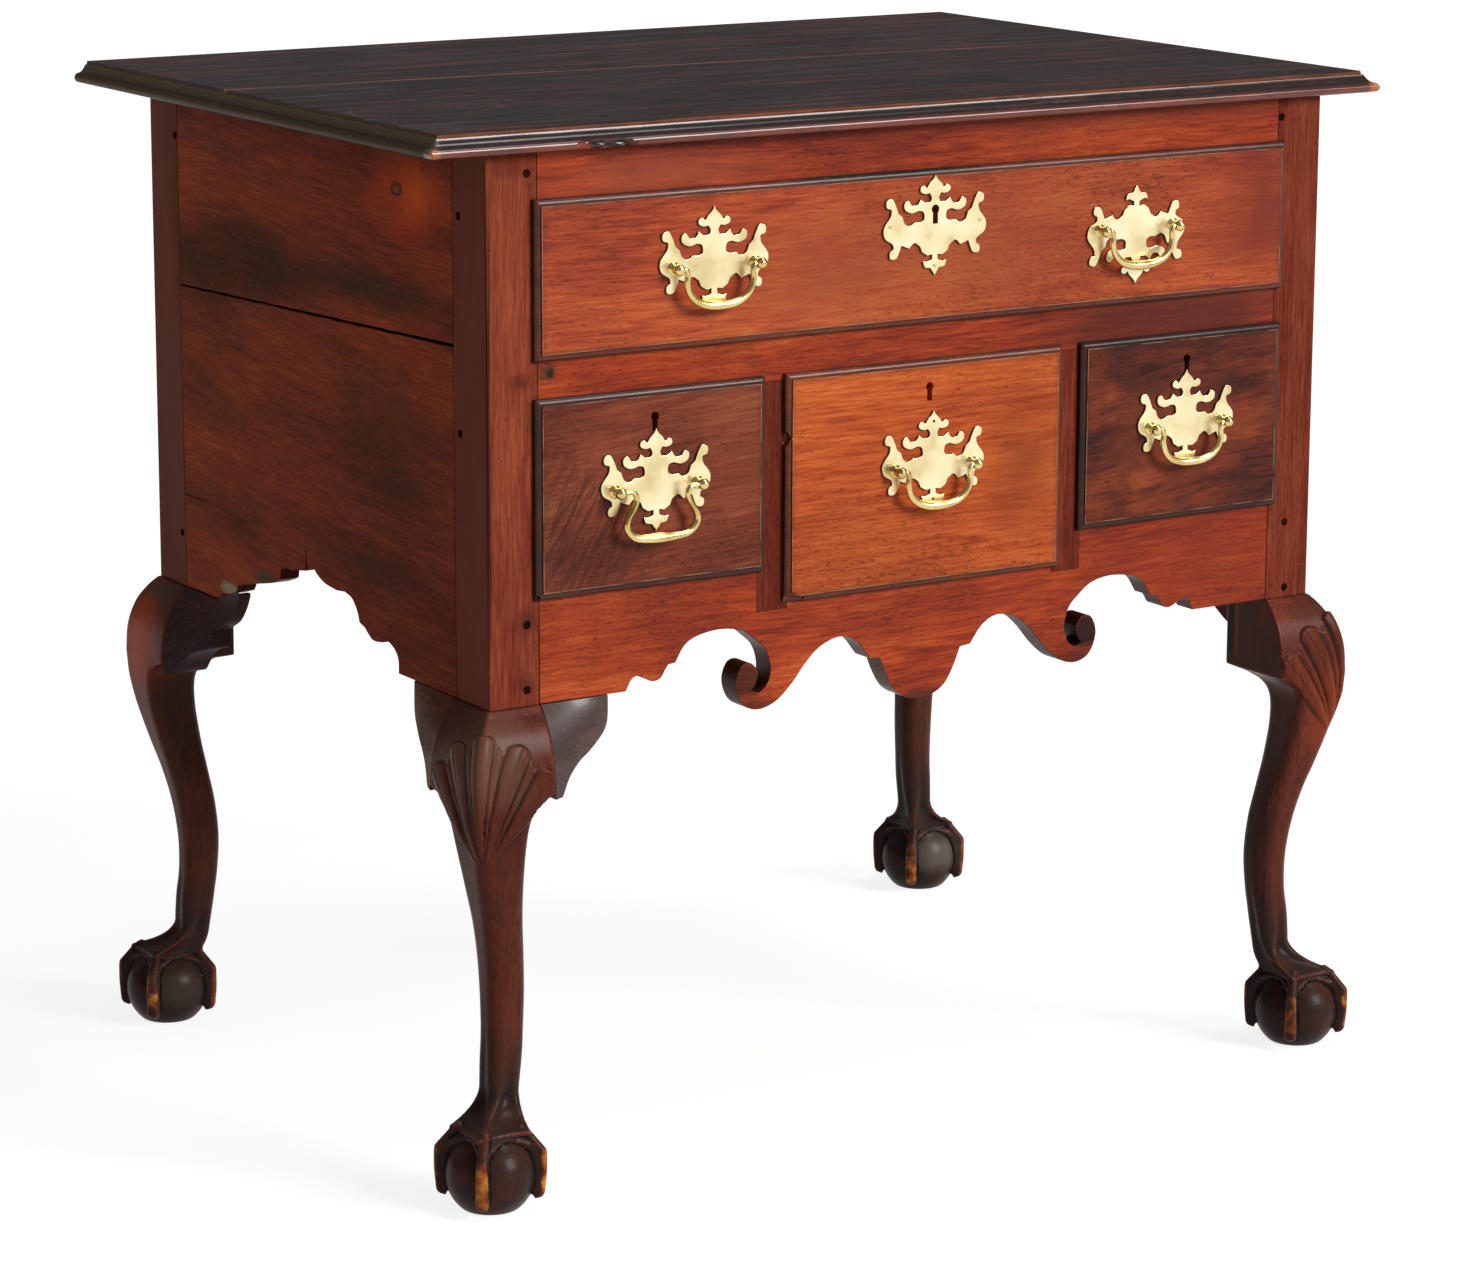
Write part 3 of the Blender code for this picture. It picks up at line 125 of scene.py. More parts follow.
def walnutMaterial(name, ownLook):
    # Black walnut under old shellac and wax: clouds and streaks along the grain, fine dark fibres, dust in
    # places and a soft shine that is uneven with age. Pores are about 0.2 mm wide and are drawn at 0.5 mm.
    look = {**usualWalnut, **ownLook}
    material, tree, place = freshMaterial(name, {
        "Roughness": 0.4, "Specular IOR Level": look["specular"], "Coat Weight": look["coat"],
        "Coat Roughness": look["coatRoughness"]})
    bend = addNode(tree, "ShaderNodeVectorMath", {"operation": "MULTIPLY_ADD",
            0: addNode(tree, "ShaderNodeTexNoise", {"Vector": place, "Scale": 6.0, "Detail": 2.0}, "Color"),
            1: (look["wander"],) * 3, 2: place})
    turned = addNode(tree, "ShaderNodeMapping", {"Vector": bend, "Rotation": look["turn"]})

    def alongGrain(stretch):
        return addNode(tree, "ShaderNodeMapping", {"Vector": turned, "Scale": grainStretch(look["grain"], stretch)})

    total, maps = 0.5, {}
    for label, scale, stretch, detail, share in (
            ("cloud", look["cloudScale"], look["cloudLong"], 4.0, look["cloud"]),
            ("streak", look["streakScale"], look["streakLong"], 5.0, look["streak"]),
            ("fibre", 700.0, 0.05, 3.0, look["fibre"]), ("fleck", 300.0, 0.1, 3.0, 0.06)):
        maps[label] = addNode(tree, "ShaderNodeTexNoise", {"Vector": alongGrain(stretch), "Scale": scale,
                "Detail": detail, "Roughness": 0.6, "Distortion": look["swirl"] if label == "streak" else 0.0})
        total = addNode(tree, "ShaderNodeMath", {"operation": "MULTIPLY_ADD",
                0: addNode(tree, "ShaderNodeMath", {"operation": "SUBTRACT", 0: maps[label], 1: 0.5}), 1: share,
                2: total})
    colour = addNode(tree, "ShaderNodeValToRGB", {"Fac": total, "stops": list(zip((0.42, 0.4812, 0.5288, 0.59),
            look["tones"].split()))})
    patches = addNode(tree, "ShaderNodeTexNoise", {"Vector": alongGrain(look["patchLong"]), "Scale": look["patches"],
            "Detail": 4.0})
    age = addNode(tree, "ShaderNodeMapRange", {"Value": patches, "From Min": look["ageFrom"],
            "From Max": look["ageTo"], "To Max": look["age"]})
    colour = addNode(tree, "ShaderNodeMix", {"data_type": "RGBA", 0: age, 6: colour, 7: look["grime"]}, 2)
    # Open pores filled with old dark wax: short dashes along the grain, more of them in places
    crowd = addNode(tree, "ShaderNodeMath", {"operation": "MULTIPLY_ADD", 0: patches, 1: 0.35,
            2: addNode(tree, "ShaderNodeTexNoise", {"Vector": alongGrain(0.26), "Scale": 720.0, "Detail": 2.0})})
    colour = addNode(tree, "ShaderNodeMix", {"data_type": "RGBA", 0: addNode(tree, "ShaderNodeMapRange",
            {"Value": crowd, "From Min": 0.74, "From Max": 0.88, "To Max": 0.5}), 6: colour, 7: look["poreTone"]}, 2)
    for mark, *values in look["marks"]:
        colour = mark(tree, place, colour, *values)
    if look["dust"]:
        # Specks of dust and old paint, about half a millimetre across
        cells = addNode(tree, "ShaderNodeTexVoronoi", {"Scale": 75.0, "Randomness": 1.0, "Vector": place}, "Distance")
        colour = addNode(tree, "ShaderNodeMix", {"data_type": "RGBA", 0: addNode(tree, "ShaderNodeMapRange",
                {"Value": cells, "From Min": 0.022, "From Max": 0.045, "To Min": look["dust"], "To Max": 0.0}),
                6: colour, 7: "#B9A184"}, 2)
    relief = addNode(tree, "ShaderNodeMath", {"operation": "MULTIPLY_ADD", 0: maps["fibre"], 1: 0.6,
            2: maps["fleck"]})
    feed(tree, {"Base Color": colour, "Roughness": addNode(tree, "ShaderNodeMapRange",
            {"Value": patches, "From Min": 0.3, "From Max": 0.7, "To Min": look["glossy"], "To Max": look["dull"]}),
            "Normal": addNode(tree, "ShaderNodeBump", {"Strength": look["bump"], "Distance": 0.0004,
            "Height": relief})})
    return material


# Marks of use: each lays itself over the colour so far, and its own values follow the colour
def stain(tree, place, colour, centre, size, tone, softness, strength):
    # A stain, bruise or knot: an ellipsoid of another colour with a ragged edge
    scaled = around(tree, place, centre, size)
    pushed = addNode(tree, "ShaderNodeVectorMath", {"operation": "MULTIPLY_ADD",
            0: addNode(tree, "ShaderNodeTexNoise", {"Vector": scaled, "Scale": 1.6, "Detail": 3.0}, "Color"),
            1: (0.8,) * 3, 2: scaled})
    far = addNode(tree, "ShaderNodeVectorMath", {"operation": "LENGTH", 0: addNode(tree, "ShaderNodeVectorMath",
            {"operation": "SUBTRACT", 0: pushed, 1: (0.4,) * 3})}, "Value")
    return addNode(tree, "ShaderNodeMix", {"data_type": "RGBA", 0: addNode(tree, "ShaderNodeMapRange",
            {"Value": far, "From Min": 1.0 - softness, "From Max": 1.0, "To Min": strength, "To Max": 0.0}),
            6: colour, 7: tone}, 2)


def patch(tree, place, colour, centre, half, tone, edge, strength):
    # A patch or scar with straight but ragged sides
    scaled = around(tree, place, centre, half)
    x, y, z = (addNode(tree, "ShaderNodeMath", {"operation": "ABSOLUTE", 0: addNode(tree, "ShaderNodeSeparateXYZ",
            {"Vector": scaled}, letter)}) for letter in "XYZ")
    widest = addNode(tree, "ShaderNodeMath", {"operation": "MAXIMUM", 0: addNode(tree, "ShaderNodeMath",
            {"operation": "MAXIMUM", 0: x, 1: y}), 1: z})
    pushed = addNode(tree, "ShaderNodeMath", {"operation": "MULTIPLY_ADD", 0: addNode(tree, "ShaderNodeTexNoise",
            {"Vector": scaled, "Scale": 2.4, "Detail": 4.0}), 1: 0.9, 2: widest})
    return addNode(tree, "ShaderNodeMix", {"data_type": "RGBA", 0: addNode(tree, "ShaderNodeMapRange",
            {"Value": pushed, "From Min": 1.45 - edge, "From Max": 1.45, "To Min": strength, "To Max": 0.0}),
            6: colour, 7: tone}, 2)


def loop(tree, place, colour, centre, size, tone, width, strength):
    # One loop of the grain: a thin ring round an ellipse
    scaled = around(tree, place, centre, size)
    pushed = addNode(tree, "ShaderNodeVectorMath", {"operation": "MULTIPLY_ADD",
            0: addNode(tree, "ShaderNodeTexNoise", {"Vector": scaled, "Scale": 0.9, "Detail": 2.0}, "Color"),
            1: (0.5,) * 3, 2: scaled})
    away = addNode(tree, "ShaderNodeMath", {"operation": "ABSOLUTE", 0: addNode(tree, "ShaderNodeMath",
            {"operation": "SUBTRACT", 0: addNode(tree, "ShaderNodeVectorMath", {"operation": "LENGTH", 0: pushed},
            "Value"), 1: 1.0})})
    return addNode(tree, "ShaderNodeMix", {"data_type": "RGBA", 0: addNode(tree, "ShaderNodeMapRange",
            {"Value": away, "From Min": 0.0, "From Max": width, "To Min": strength, "To Max": 0.0}), 6: colour,
            7: tone}, 2)


def veins(tree, place, colour, tone, scale, start, end, strength, turn):
    # Thin lines along the grain of the top, where the dark finish has worn or been scratched
    grain = addNode(tree, "ShaderNodeMapping", {"Vector": place, "Scale": (0.035, 1.0, 1.0),
            "Rotation": (0, 0, turn)})
    thin = addNode(tree, "ShaderNodeMapRange", {"Value": addNode(tree, "ShaderNodeTexNoise",
            {"Vector": grain, "Scale": scale, "Detail": 6.0, "Roughness": 0.68, "Distortion": 0.4}),
            "From Min": start, "From Max": end})
    patchy = addNode(tree, "ShaderNodeMapRange", {"Value": addNode(tree, "ShaderNodeTexNoise",
            {"Vector": grain, "Scale": 4.5, "Detail": 3.0}), "From Min": 0.4, "From Max": 0.6,
            "To Min": 0.12 * strength, "To Max": strength})
    return addNode(tree, "ShaderNodeMix", {"data_type": "RGBA", 0: addNode(tree, "ShaderNodeMath",
            {"operation": "MULTIPLY", 0: thin, 1: patchy}), 6: colour, 7: tone}, 2)


def streaks(tree, place, colour, centre, size, turn, tone, strength):
    # Curly figure in one place of a front: streaks that run steeply across the grain
    near = addNode(tree, "ShaderNodeMapRange", {"Value": addNode(tree, "ShaderNodeVectorMath",
            {"operation": "LENGTH", 0: around(tree, place, centre, size)}, "Value"), "From Min": 0.35,
            "From Max": 1.0, "To Min": strength, "To Max": 0.0})
    along = addNode(tree, "ShaderNodeMapping", {"Vector": place, "vector_type": "TEXTURE", "Rotation": (0, turn, 0),
            "Scale": (9.0, 1.0, 1.0)})
    thin = addNode(tree, "ShaderNodeMapRange", {"Value": addNode(tree, "ShaderNodeTexNoise",
            {"Vector": along, "Scale": 330.0, "Detail": 4.0, "Distortion": 0.4}), "From Min": 0.46, "From Max": 0.6})
    return addNode(tree, "ShaderNodeMix", {"data_type": "RGBA", 0: addNode(tree, "ShaderNodeMath",
            {"operation": "MULTIPLY", 0: near, 1: thin}), 6: colour, 7: tone}, 2)


def sawnEdge(tree, place, colour, letter):
    # Sawn edges painted dark: everything that doesn't face along the letter's axis
    return addNode(tree, "ShaderNodeMix", {"data_type": "RGBA", 0: addNode(tree, "ShaderNodeMapRange",
            {"Value": facing(tree, letter), "From Min": 0.35, "From Max": 0.75, "To Min": 0.82, "To Max": 0.0}),
            6: colour, 7: "#2A140E"}, 2)


def facingTone(tree, place, colour, letter, tone, strength):
    # Another tone on the faces that look along one axis, such as the sides of a post
    return addNode(tree, "ShaderNodeMix", {"data_type": "RGBA", 0: addNode(tree, "ShaderNodeMapRange",
            {"Value": facing(tree, letter), "From Min": 0.6, "From Max": 0.8, "To Max": strength}), 6: colour,
            7: tone}, 2)


def edgeBand(tree, place, colour, middle, half):
    # Dirt and painted shade in the quirk of the thumb moulding and on the lip, and beside it a light arris, partly
    # rubbed wood and partly a painted highlight, by the distance from the lip's edge
    gaps = [addNode(tree, "ShaderNodeMath", {"operation": "SUBTRACT", 0: reach,
            1: addNode(tree, "ShaderNodeMath", {"operation": "ABSOLUTE", 0: addNode(tree, "ShaderNodeMath",
            {"operation": "SUBTRACT", 0: addNode(tree, "ShaderNodeSeparateXYZ", {"Vector": place}, letter),
            1: at})})}) for letter, at, reach in zip("XZ", middle, half)]
    share = addNode(tree, "ShaderNodeMapRange", {"Value": addNode(tree, "ShaderNodeMath",
            {"operation": "MINIMUM", 0: gaps[0], 1: gaps[1]}), "From Min": -0.001, "From Max": 0.009})
    # Dark on the lip's side and in the quirk: dirt, and painted shade
    dirt = addNode(tree, "ShaderNodeValToRGB", {"Fac": share, "stops": [(0.0, 0.95), (0.16, 0.88), (0.3, 0.74),
            (0.48, 0.8), (0.555, 1.0), (0.6, 0.15), (0.66, 0.3), (0.95, 0.0)]})
    ragged = addNode(tree, "ShaderNodeTexNoise", {"Vector": place, "Scale": 45.0, "Detail": 4.0})
    dirtAndShade = addNode(tree, "ShaderNodeMath", {"operation": "MULTIPLY", 0: dirt,
            1: addNode(tree, "ShaderNodeMapRange", {"Value": ragged, "From Min": 0.25, "From Max": 0.65,
            "To Min": 0.82})})
    feed(tree, {"Coat Weight": addNode(tree, "ShaderNodeMath", {"operation": "MULTIPLY", 0: dirtAndShade, 1: 0.35})})
    # Light line on the arris: rubbed wood, and a painted highlight
    arrisRubAndHighlight = addNode(tree, "ShaderNodeValToRGB", {"Fac": share, "stops": [(0.575, 0.0), (0.59, 1.0), (0.62, 1.0),
            (0.64, 0.0)]})
    worn = addNode(tree, "ShaderNodeMath", {"operation": "MULTIPLY", 0: arrisRubAndHighlight,
            1: addNode(tree, "ShaderNodeMapRange", {"Value": ragged, "From Min": 0.42, "From Max": 0.56,
            "To Max": 0.7})})
    return addNode(tree, "ShaderNodeMix", {"data_type": "RGBA", 0: worn, 6: addNode(tree, "ShaderNodeMix",
            {"data_type": "RGBA", 0: dirtAndShade, 6: colour, 7: "#160C0A"}, 2), 7: "#C78A62"}, 2)


def nosingWear(tree, place, colour):
    # The moulded front edge: the bead and the top arris rubbed back to red and orange wood, the cove dark
    share = addNode(tree, "ShaderNodeMapRange", {"Value": addNode(tree, "ShaderNodeSeparateXYZ", {"Vector": place},
            "Z"), "From Min": 0.746, "From Max": 0.762})
    bare = addNode(tree, "ShaderNodeValToRGB", {"Fac": share, "stops": [(0.0, "#6A2818"), (0.18, "#8A3C22"),
            (0.38, "#5C2418"), (0.47, "#1C1210"), (0.74, "#241815"), (0.83, "#7A3A22"), (0.93, "#A8623C"),
            (1.0, "#4A2A20")]})
    front = addNode(tree, "ShaderNodeMapRange", {"Value": addNode(tree, "ShaderNodeSeparateXYZ", {"Vector": place},
            "Y"), "From Min": -0.2635, "From Max": -0.261, "To Min": 1.0, "To Max": 0.0})
    uneven = addNode(tree, "ShaderNodeMapRange", {"Value": addNode(tree, "ShaderNodeTexNoise",
            {"Vector": place, "Scale": 30.0, "Detail": 5.0, "Roughness": 0.65}), "From Min": 0.3, "From Max": 0.58,
            "To Min": 0.35})
    colour = addNode(tree, "ShaderNodeMix", {"data_type": "RGBA", 0: addNode(tree, "ShaderNodeMath",
            {"operation": "MULTIPLY", 0: front, 1: uneven}), 6: colour, 7: bare}, 2)
    feed(tree, {"Coat Weight": addNode(tree, "ShaderNodeMath", {"operation": "MULTIPLY", 0: front, 1: 0.85})})
    # The left end has never been polished since: olive brown dirt
    end = addNode(tree, "ShaderNodeMapRange", {"Value": addNode(tree, "ShaderNodeSeparateXYZ", {"Vector": place},
            "X"), "From Min": -0.4005, "From Max": -0.3985, "To Min": 0.85, "To Max": 0.0})
    return addNode(tree, "ShaderNodeMix", {"data_type": "RGBA", 0: end, 6: colour,
            7: addNode(tree, "ShaderNodeValToRGB", {"Fac": share, "stops": [(0.0, "#3A2E22"), (0.3, "#685039"),
            (0.46, "#241C16"), (0.6, "#5E4E3A"), (0.85, "#746248")]})}, 2)


def seamHighlight(tree, place, colour, left, right, half):
    # The seam of the two boards: a painted highlight in light brown on the board edges either side of a dark gap
    line = addNode(tree, "ShaderNodeMath", {"operation": "MULTIPLY_ADD", 0: addNode(tree, "ShaderNodeSeparateXYZ",
            {"Vector": place}, "X"), 1: (left - right) / (2 * half), 2: -(left + right) / 2})
    away = addNode(tree, "ShaderNodeMath", {"operation": "ABSOLUTE", 0: addNode(tree, "ShaderNodeMath",
            {"operation": "ADD", 0: line, 1: addNode(tree, "ShaderNodeSeparateXYZ", {"Vector": place}, "Y")})})
    uneven = addNode(tree, "ShaderNodeMapRange", {"Value": addNode(tree, "ShaderNodeTexNoise",
            {"Vector": place, "Scale": 9.0, "Detail": 4.0}), "From Min": 0.42, "From Max": 0.58, "To Min": 0.3,
            "To Max": 0.95})
    return addNode(tree, "ShaderNodeMix", {"data_type": "RGBA", 0: addNode(tree, "ShaderNodeMath",
            {"operation": "MULTIPLY", 0: addNode(tree, "ShaderNodeMapRange",
            {"Value": away, "From Min": 0.0012, "From Max": 0.0026, "To Min": 1.0, "To Max": 0.0}), 1: uneven}),
            6: colour, 7: "#9A664A"}, 2)


def clawWear(tree, place, colour, footX, footY):
    # Finish rubbed off the outer faces of the claws down to raw orange walnut, in ragged patches
    offset = addNode(tree, "ShaderNodeVectorMath", {"operation": "SUBTRACT",
            0: addNode(tree, "ShaderNodeVectorMath", {"operation": "ABSOLUTE", 0: place}), 1: (footX, footY, 0.0)})
    reach = addNode(tree, "ShaderNodeVectorMath", {"operation": "LENGTH", 0: addNode(tree, "ShaderNodeVectorMath",
            {"operation": "MULTIPLY", 0: offset, 1: (1, 1, 0)})}, "Value")
    ragged = addNode(tree, "ShaderNodeTexNoise", {"Vector": place, "Scale": 95.0, "Detail": 3.0})
    worn = addNode(tree, "ShaderNodeMapRange", {"Value": addNode(tree, "ShaderNodeMath",
            {"operation": "MULTIPLY_ADD", 0: ragged, 1: 0.006, 2: reach}), "From Min": 0.0405, "From Max": 0.0418,
            "To Max": 0.9})
    both = addNode(tree, "ShaderNodeMath", {"operation": "MULTIPLY", 0: worn,
            1: addNode(tree, "ShaderNodeMapRange", {"Value": addNode(tree, "ShaderNodeSeparateXYZ", {"Vector": place},
            "Z"), "From Min": 0.036, "From Max": 0.047, "To Min": 1.0, "To Max": 0.0})})
    # The left front foot has had most of the knocks
    corner = addNode(tree, "ShaderNodeVectorMath", {"operation": "DISTANCE", 0: place, 1: (-footX, -footY, 0.02)},
        "Value")
    spared = addNode(tree, "ShaderNodeMapRange", {"Value": addNode(tree, "ShaderNodeTexNoise",
            {"Vector": place, "Scale": 150.0, "Detail": 3.0}), "From Min": 0.42, "From Max": 0.6, "To Min": 1.0,
            "To Max": 0.15})
    less = addNode(tree, "ShaderNodeMix", {"data_type": "FLOAT", 0: addNode(tree, "ShaderNodeMapRange",
            {"Value": corner, "From Min": 0.06, "From Max": 0.1}), 2: 1.0, 3: spared})
    raw = addNode(tree, "ShaderNodeValToRGB", {"Fac": ragged, "stops": [(0.36, "#4A1E10"), (0.5, "#9A4A1C"),
            (0.6, "#B8682A"), (0.7, "#D8943C")]})
    return addNode(tree, "ShaderNodeMix", {"data_type": "RGBA", 0: addNode(tree, "ShaderNodeMath",
            {"operation": "MULTIPLY", 0: both, 1: less}), 6: colour, 7: raw}, 2)


def outwardTone(tree, place, colour, warm, dark, warmShare, darkShare):
    # Handled and polished outward faces are warmer, the faces turned in to the other legs darker
    flat = addNode(tree, "ShaderNodeVectorMath", {"operation": "MULTIPLY", 0: addNode(tree, "ShaderNodeVectorMath",
            {"operation": "SIGN", 0: place}), 1: (1, 1, 0)})
    normal = addNode(tree, "ShaderNodeTexCoord", {}, "Normal")
    outward = addNode(tree, "ShaderNodeVectorMath", {"operation": "DOT_PRODUCT", 0: flat, 1: normal}, "Value")
    pushed = addNode(tree, "ShaderNodeMath", {"operation": "MULTIPLY_ADD", 0: addNode(tree, "ShaderNodeTexNoise",
            {"Vector": place, "Scale": 26.0, "Detail": 4.0}), 1: 0.9, 2: outward})
    colour = addNode(tree, "ShaderNodeMix", {"data_type": "RGBA", 0: addNode(tree, "ShaderNodeMapRange",
            {"Value": pushed, "From Min": 0.75, "From Max": 1.6, "To Max": warmShare}), 6: colour, 7: warm}, 2)
    return addNode(tree, "ShaderNodeMix", {"data_type": "RGBA", 0: addNode(tree, "ShaderNodeMapRange",
            {"Value": pushed, "From Min": -0.45, "From Max": 0.35, "To Min": darkShare, "To Max": 0.0}), 6: colour,
            7: dark}, 2)


def dullFoot(tree, place, colour):
    # The feet and ankles: black dirt and wax in ragged patches over the red brown wood
    low = addNode(tree, "ShaderNodeMapRange", {"Value": addNode(tree, "ShaderNodeSeparateXYZ", {"Vector": place},
            "Z"), "From Min": 0.085, "From Max": 0.135, "To Min": 1.0, "To Max": 0.0})
    dirt = addNode(tree, "ShaderNodeMapRange", {"Value": addNode(tree, "ShaderNodeTexNoise",
            {"Vector": place, "Scale": 62.0, "Detail": 5.0, "Roughness": 0.6}), "From Min": 0.4, "From Max": 0.6,
            "To Min": 0.62, "To Max": 0.95})
    return addNode(tree, "ShaderNodeMix", {"data_type": "RGBA", 0: addNode(tree, "ShaderNodeMath",
            {"operation": "MULTIPLY", 0: low, 1: dirt}), 6: colour, 7: "#2A2320"}, 2)


def hollowGrime(tree, place, colour):
    # Old wax and dirt left in the hollows of the carving and a rubbed shine on its ridges. How hollow the
    # wood is comes from the carving itself and is kept with the mesh as hollow and ridge.
    for label, tone in (("hollow", "#120B09"), ("ridge", "#7E3A26")):
        colour = addNode(tree, "ShaderNodeMix", {"data_type": "RGBA", 0: addNode(tree, "ShaderNodeAttribute",
                {"attribute_name": label}, "Fac"), 6: colour, 7: tone}, 2)
    return colour


frontWalnut = walnutMaterial("polishedWalnutFront", {
    "grain": "X", "tones": "#6A2014 #98361A #AE431E #C45C2C", "grime": "#742818", "patches": 8.0, "specular": 0.15,
    "marks": [(stain, (0.225, -0.261, 0.5885), (0.15, 0.02, 0.03), "#54221A", 0.55, 0.8),
              # Painted shadow of the top's nosing on the upper part of the top rail
              (stain, (0.22, -0.261, 0.744), (0.36, 0.02, 0.017), "#6A281C", 0.8, 0.6),
              (stain, (-0.22, -0.261, 0.725), (0.14, 0.02, 0.02), "#B4583C", 0.9, 0.55),
              (stain, (0.26, -0.261, 0.405), (0.16, 0.02, 0.055), "#8A2E18", 0.9, 0.5),
              (stain, (0.0, -0.261, 0.326), (0.032, 0.02, 0.009), "#3A1810", 0.7, 0.75),
              (stain, (-0.142, -0.261, 0.336), (0.03, 0.02, 0.007), "#3A1810", 0.7, 0.6),
              (stain, (0.142, -0.261, 0.336), (0.03, 0.02, 0.007), "#3A1810", 0.7, 0.6),
              (stain, (-0.151, -0.261, 0.356), (0.018, 0.02, 0.017), "#26100A", 0.5, 0.82),
              (stain, (0.151, -0.261, 0.356), (0.018, 0.02, 0.017), "#120806", 0.5, 0.92),
              (sawnEdge, "Y"),
              # A torn place at the left end of the middle rail, with painted shade in its right part
              (patch, (-0.3144, -0.2612, 0.5929), (0.0078, 0.003, 0.007), "#46321F", 0.6, 0.85),
              (stain, (-0.312, -0.2612, 0.5925), (0.004, 0.003, 0.0044), "#1E120C", 0.6, 0.9)]})
postWalnut = walnutMaterial("polishedWalnutPost", {
    "grain": "Z", "tones": "#66281C #7C3626 #8A402C #9E4E34", "grime": "#5E291C", "age": 0.6, "patches": 14.0,
    "patchLong": 0.4, "dust": 0.35, "specular": 0.02,
    "marks": [(facingTone, "X", "#6A2A0C", 0.75),
              (patch, (-0.362, -0.261, 0.553), (0.0034, 0.003, 0.19), "#2C140E", 0.6, 0.85),
              (stain, (-0.336, -0.261, 0.588), (0.013, 0.01, 0.008), "#4A241E", 0.8, 0.6),
              (stain, (-0.331, -0.261, 0.421), (0.014, 0.01, 0.012), "#4A241E", 0.8, 0.6),
              (stain, (-0.334, -0.261, 0.376), (0.012, 0.01, 0.009), "#4A241E", 0.8, 0.5),
              (stain, (-0.342, -0.261, 0.736), (0.02, 0.01, 0.01), "#5A281E", 0.9, 0.6)]})
sideWalnut = walnutMaterial("agedWalnutSide", {
    "grain": "Y", "tones": "#6A2A1A #883822 #9C4124 #B4502A", "grime": "#3C2E1C", "age": 0.75, "patches": 11.0,
    "patchLong": 0.28, "ageFrom": 0.48, "ageTo": 0.7, "turn": (-0.05, 0, 0), "wander": 0.02, "cloudLong": 0.22,
    "dust": 0.7, "specular": 0.01,
    "marks": [(stain, (-0.362, -0.15, 0.705), (0.03, 0.07, 0.04), "#D85226", 1.0, 0.85),
              (stain, (-0.362, -0.165, 0.708), (0.03, 0.028, 0.022), "#F0682C", 1.0, 0.7),
              (stain, (-0.362, -0.1345, 0.7085), (0.02, 0.01, 0.0064), "#4A2A1C", 0.35, 0.9),
              (stain, (-0.362, -0.1345, 0.7085), (0.02, 0.0062, 0.0034), "#9A5236", 0.5, 0.9),
              (stain, (-0.362, -0.07, 0.633), (0.03, 0.2, 0.022), "#302A1C", 0.9, 0.75),
              (stain, (-0.362, -0.13, 0.52), (0.03, 0.1, 0.07), "#3A3020", 0.9, 0.45),
              (stain, (-0.362, -0.09, 0.43), (0.03, 0.12, 0.022), "#3A2E20", 0.9, 0.5),
              (patch, (-0.362, 0.195, 0.433), (0.02, 0.026, 0.0008), "#150C08", 0.4, 1.0),
              (stain, (-0.362, 0.075, 0.39), (0.02, 0.028, 0.008), "#4A4A3C", 0.5, 0.8),
              (stain, (-0.362, 0.14, 0.372), (0.02, 0.018, 0.006), "#A89E7C", 0.5, 0.85),
              (sawnEdge, "X")]})


def pineMaterial(name, grainAxis):
    # Old yellow pine, planed and never finished: pale with brown bands of late wood, dry and matt
    material, tree, place = freshMaterial(name, {"Roughness": 0.75, "Specular IOR Level": 0.3})
    rings = addNode(tree, "ShaderNodeTexWave", {"Vector": addNode(tree, "ShaderNodeMapping",
            {"Vector": place, "Scale": grainStretch(grainAxis, 0.05)}), "Scale": 22.0, "Distortion": 5.0,
            "Detail": 3.0, "Detail Scale": 0.9, "bands_direction": "DIAGONAL"}, "Fac")
    wood = addNode(tree, "ShaderNodeValToRGB", {"Fac": rings, "stops": [(0.0, "#B8905F"), (0.62, "#AD8050"),
            (0.95, "#8E5E36")]})
    feed(tree, {"Base Color": addNode(tree, "ShaderNodeMix", {"data_type": "RGBA",
            0: addNode(tree, "ShaderNodeTexNoise", {"Vector": place, "Scale": 12.0, "Detail": 5.0}), 6: wood,
            7: "#B4937A", "blend_type": "MULTIPLY"}, 2), "Normal": addNode(tree, "ShaderNodeBump",
            {"Strength": 0.3, "Distance": 0.0005, "Height": rings})})
    return material


def brassMaterial(name, look):
    # Cast brass, filed, polished and lightly tarnished: pale gold with browner traces and fine scratches
    material, tree, place = freshMaterial(name, {"Roughness": 0.3, "Metallic": 1.0})
    cloud = addNode(tree, "ShaderNodeTexNoise", {"Vector": place, "Scale": 38.0, "Detail": 3.0})
    metal = addNode(tree, "ShaderNodeValToRGB", {"Fac": cloud, "stops": list(zip((0.3, 0.48, 0.7),
            look["tones"].split()))})
    # The filed edges are painted dark brown: tarnish where polish never reaches, and painted shade along the plate's
    # outline
    rim = addNode(tree, "ShaderNodeMapRange", {"Value": facing(tree, "Y"), "From Min": 0.6, "From Max": 0.97,
            "To Min": look["rim"], "To Max": 0.0})
    scratches = addNode(tree, "ShaderNodeTexNoise", {"Vector": addNode(tree, "ShaderNodeMapping",
            {"Vector": place, "Scale": (1.0, 1.0, 14.0), "Rotation": (0, 0.7, 0)}), "Scale": 420.0, "Detail": 2.0})
    feed(tree, {"Base Color": addNode(tree, "ShaderNodeMix", {"data_type": "RGBA", 0: rim, 6: metal, 7: "#4A3618"},
            2), "Roughness": addNode(tree, "ShaderNodeMapRange", {"Value": cloud, "From Min": 0.35, "From Max": 0.7,
            "To Min": look["smooth"], "To Max": look["rough"]}), "Normal": addNode(tree, "ShaderNodeBump",
            {"Strength": 0.05, "Distance": 0.0002, "Height": scratches})})
    return material


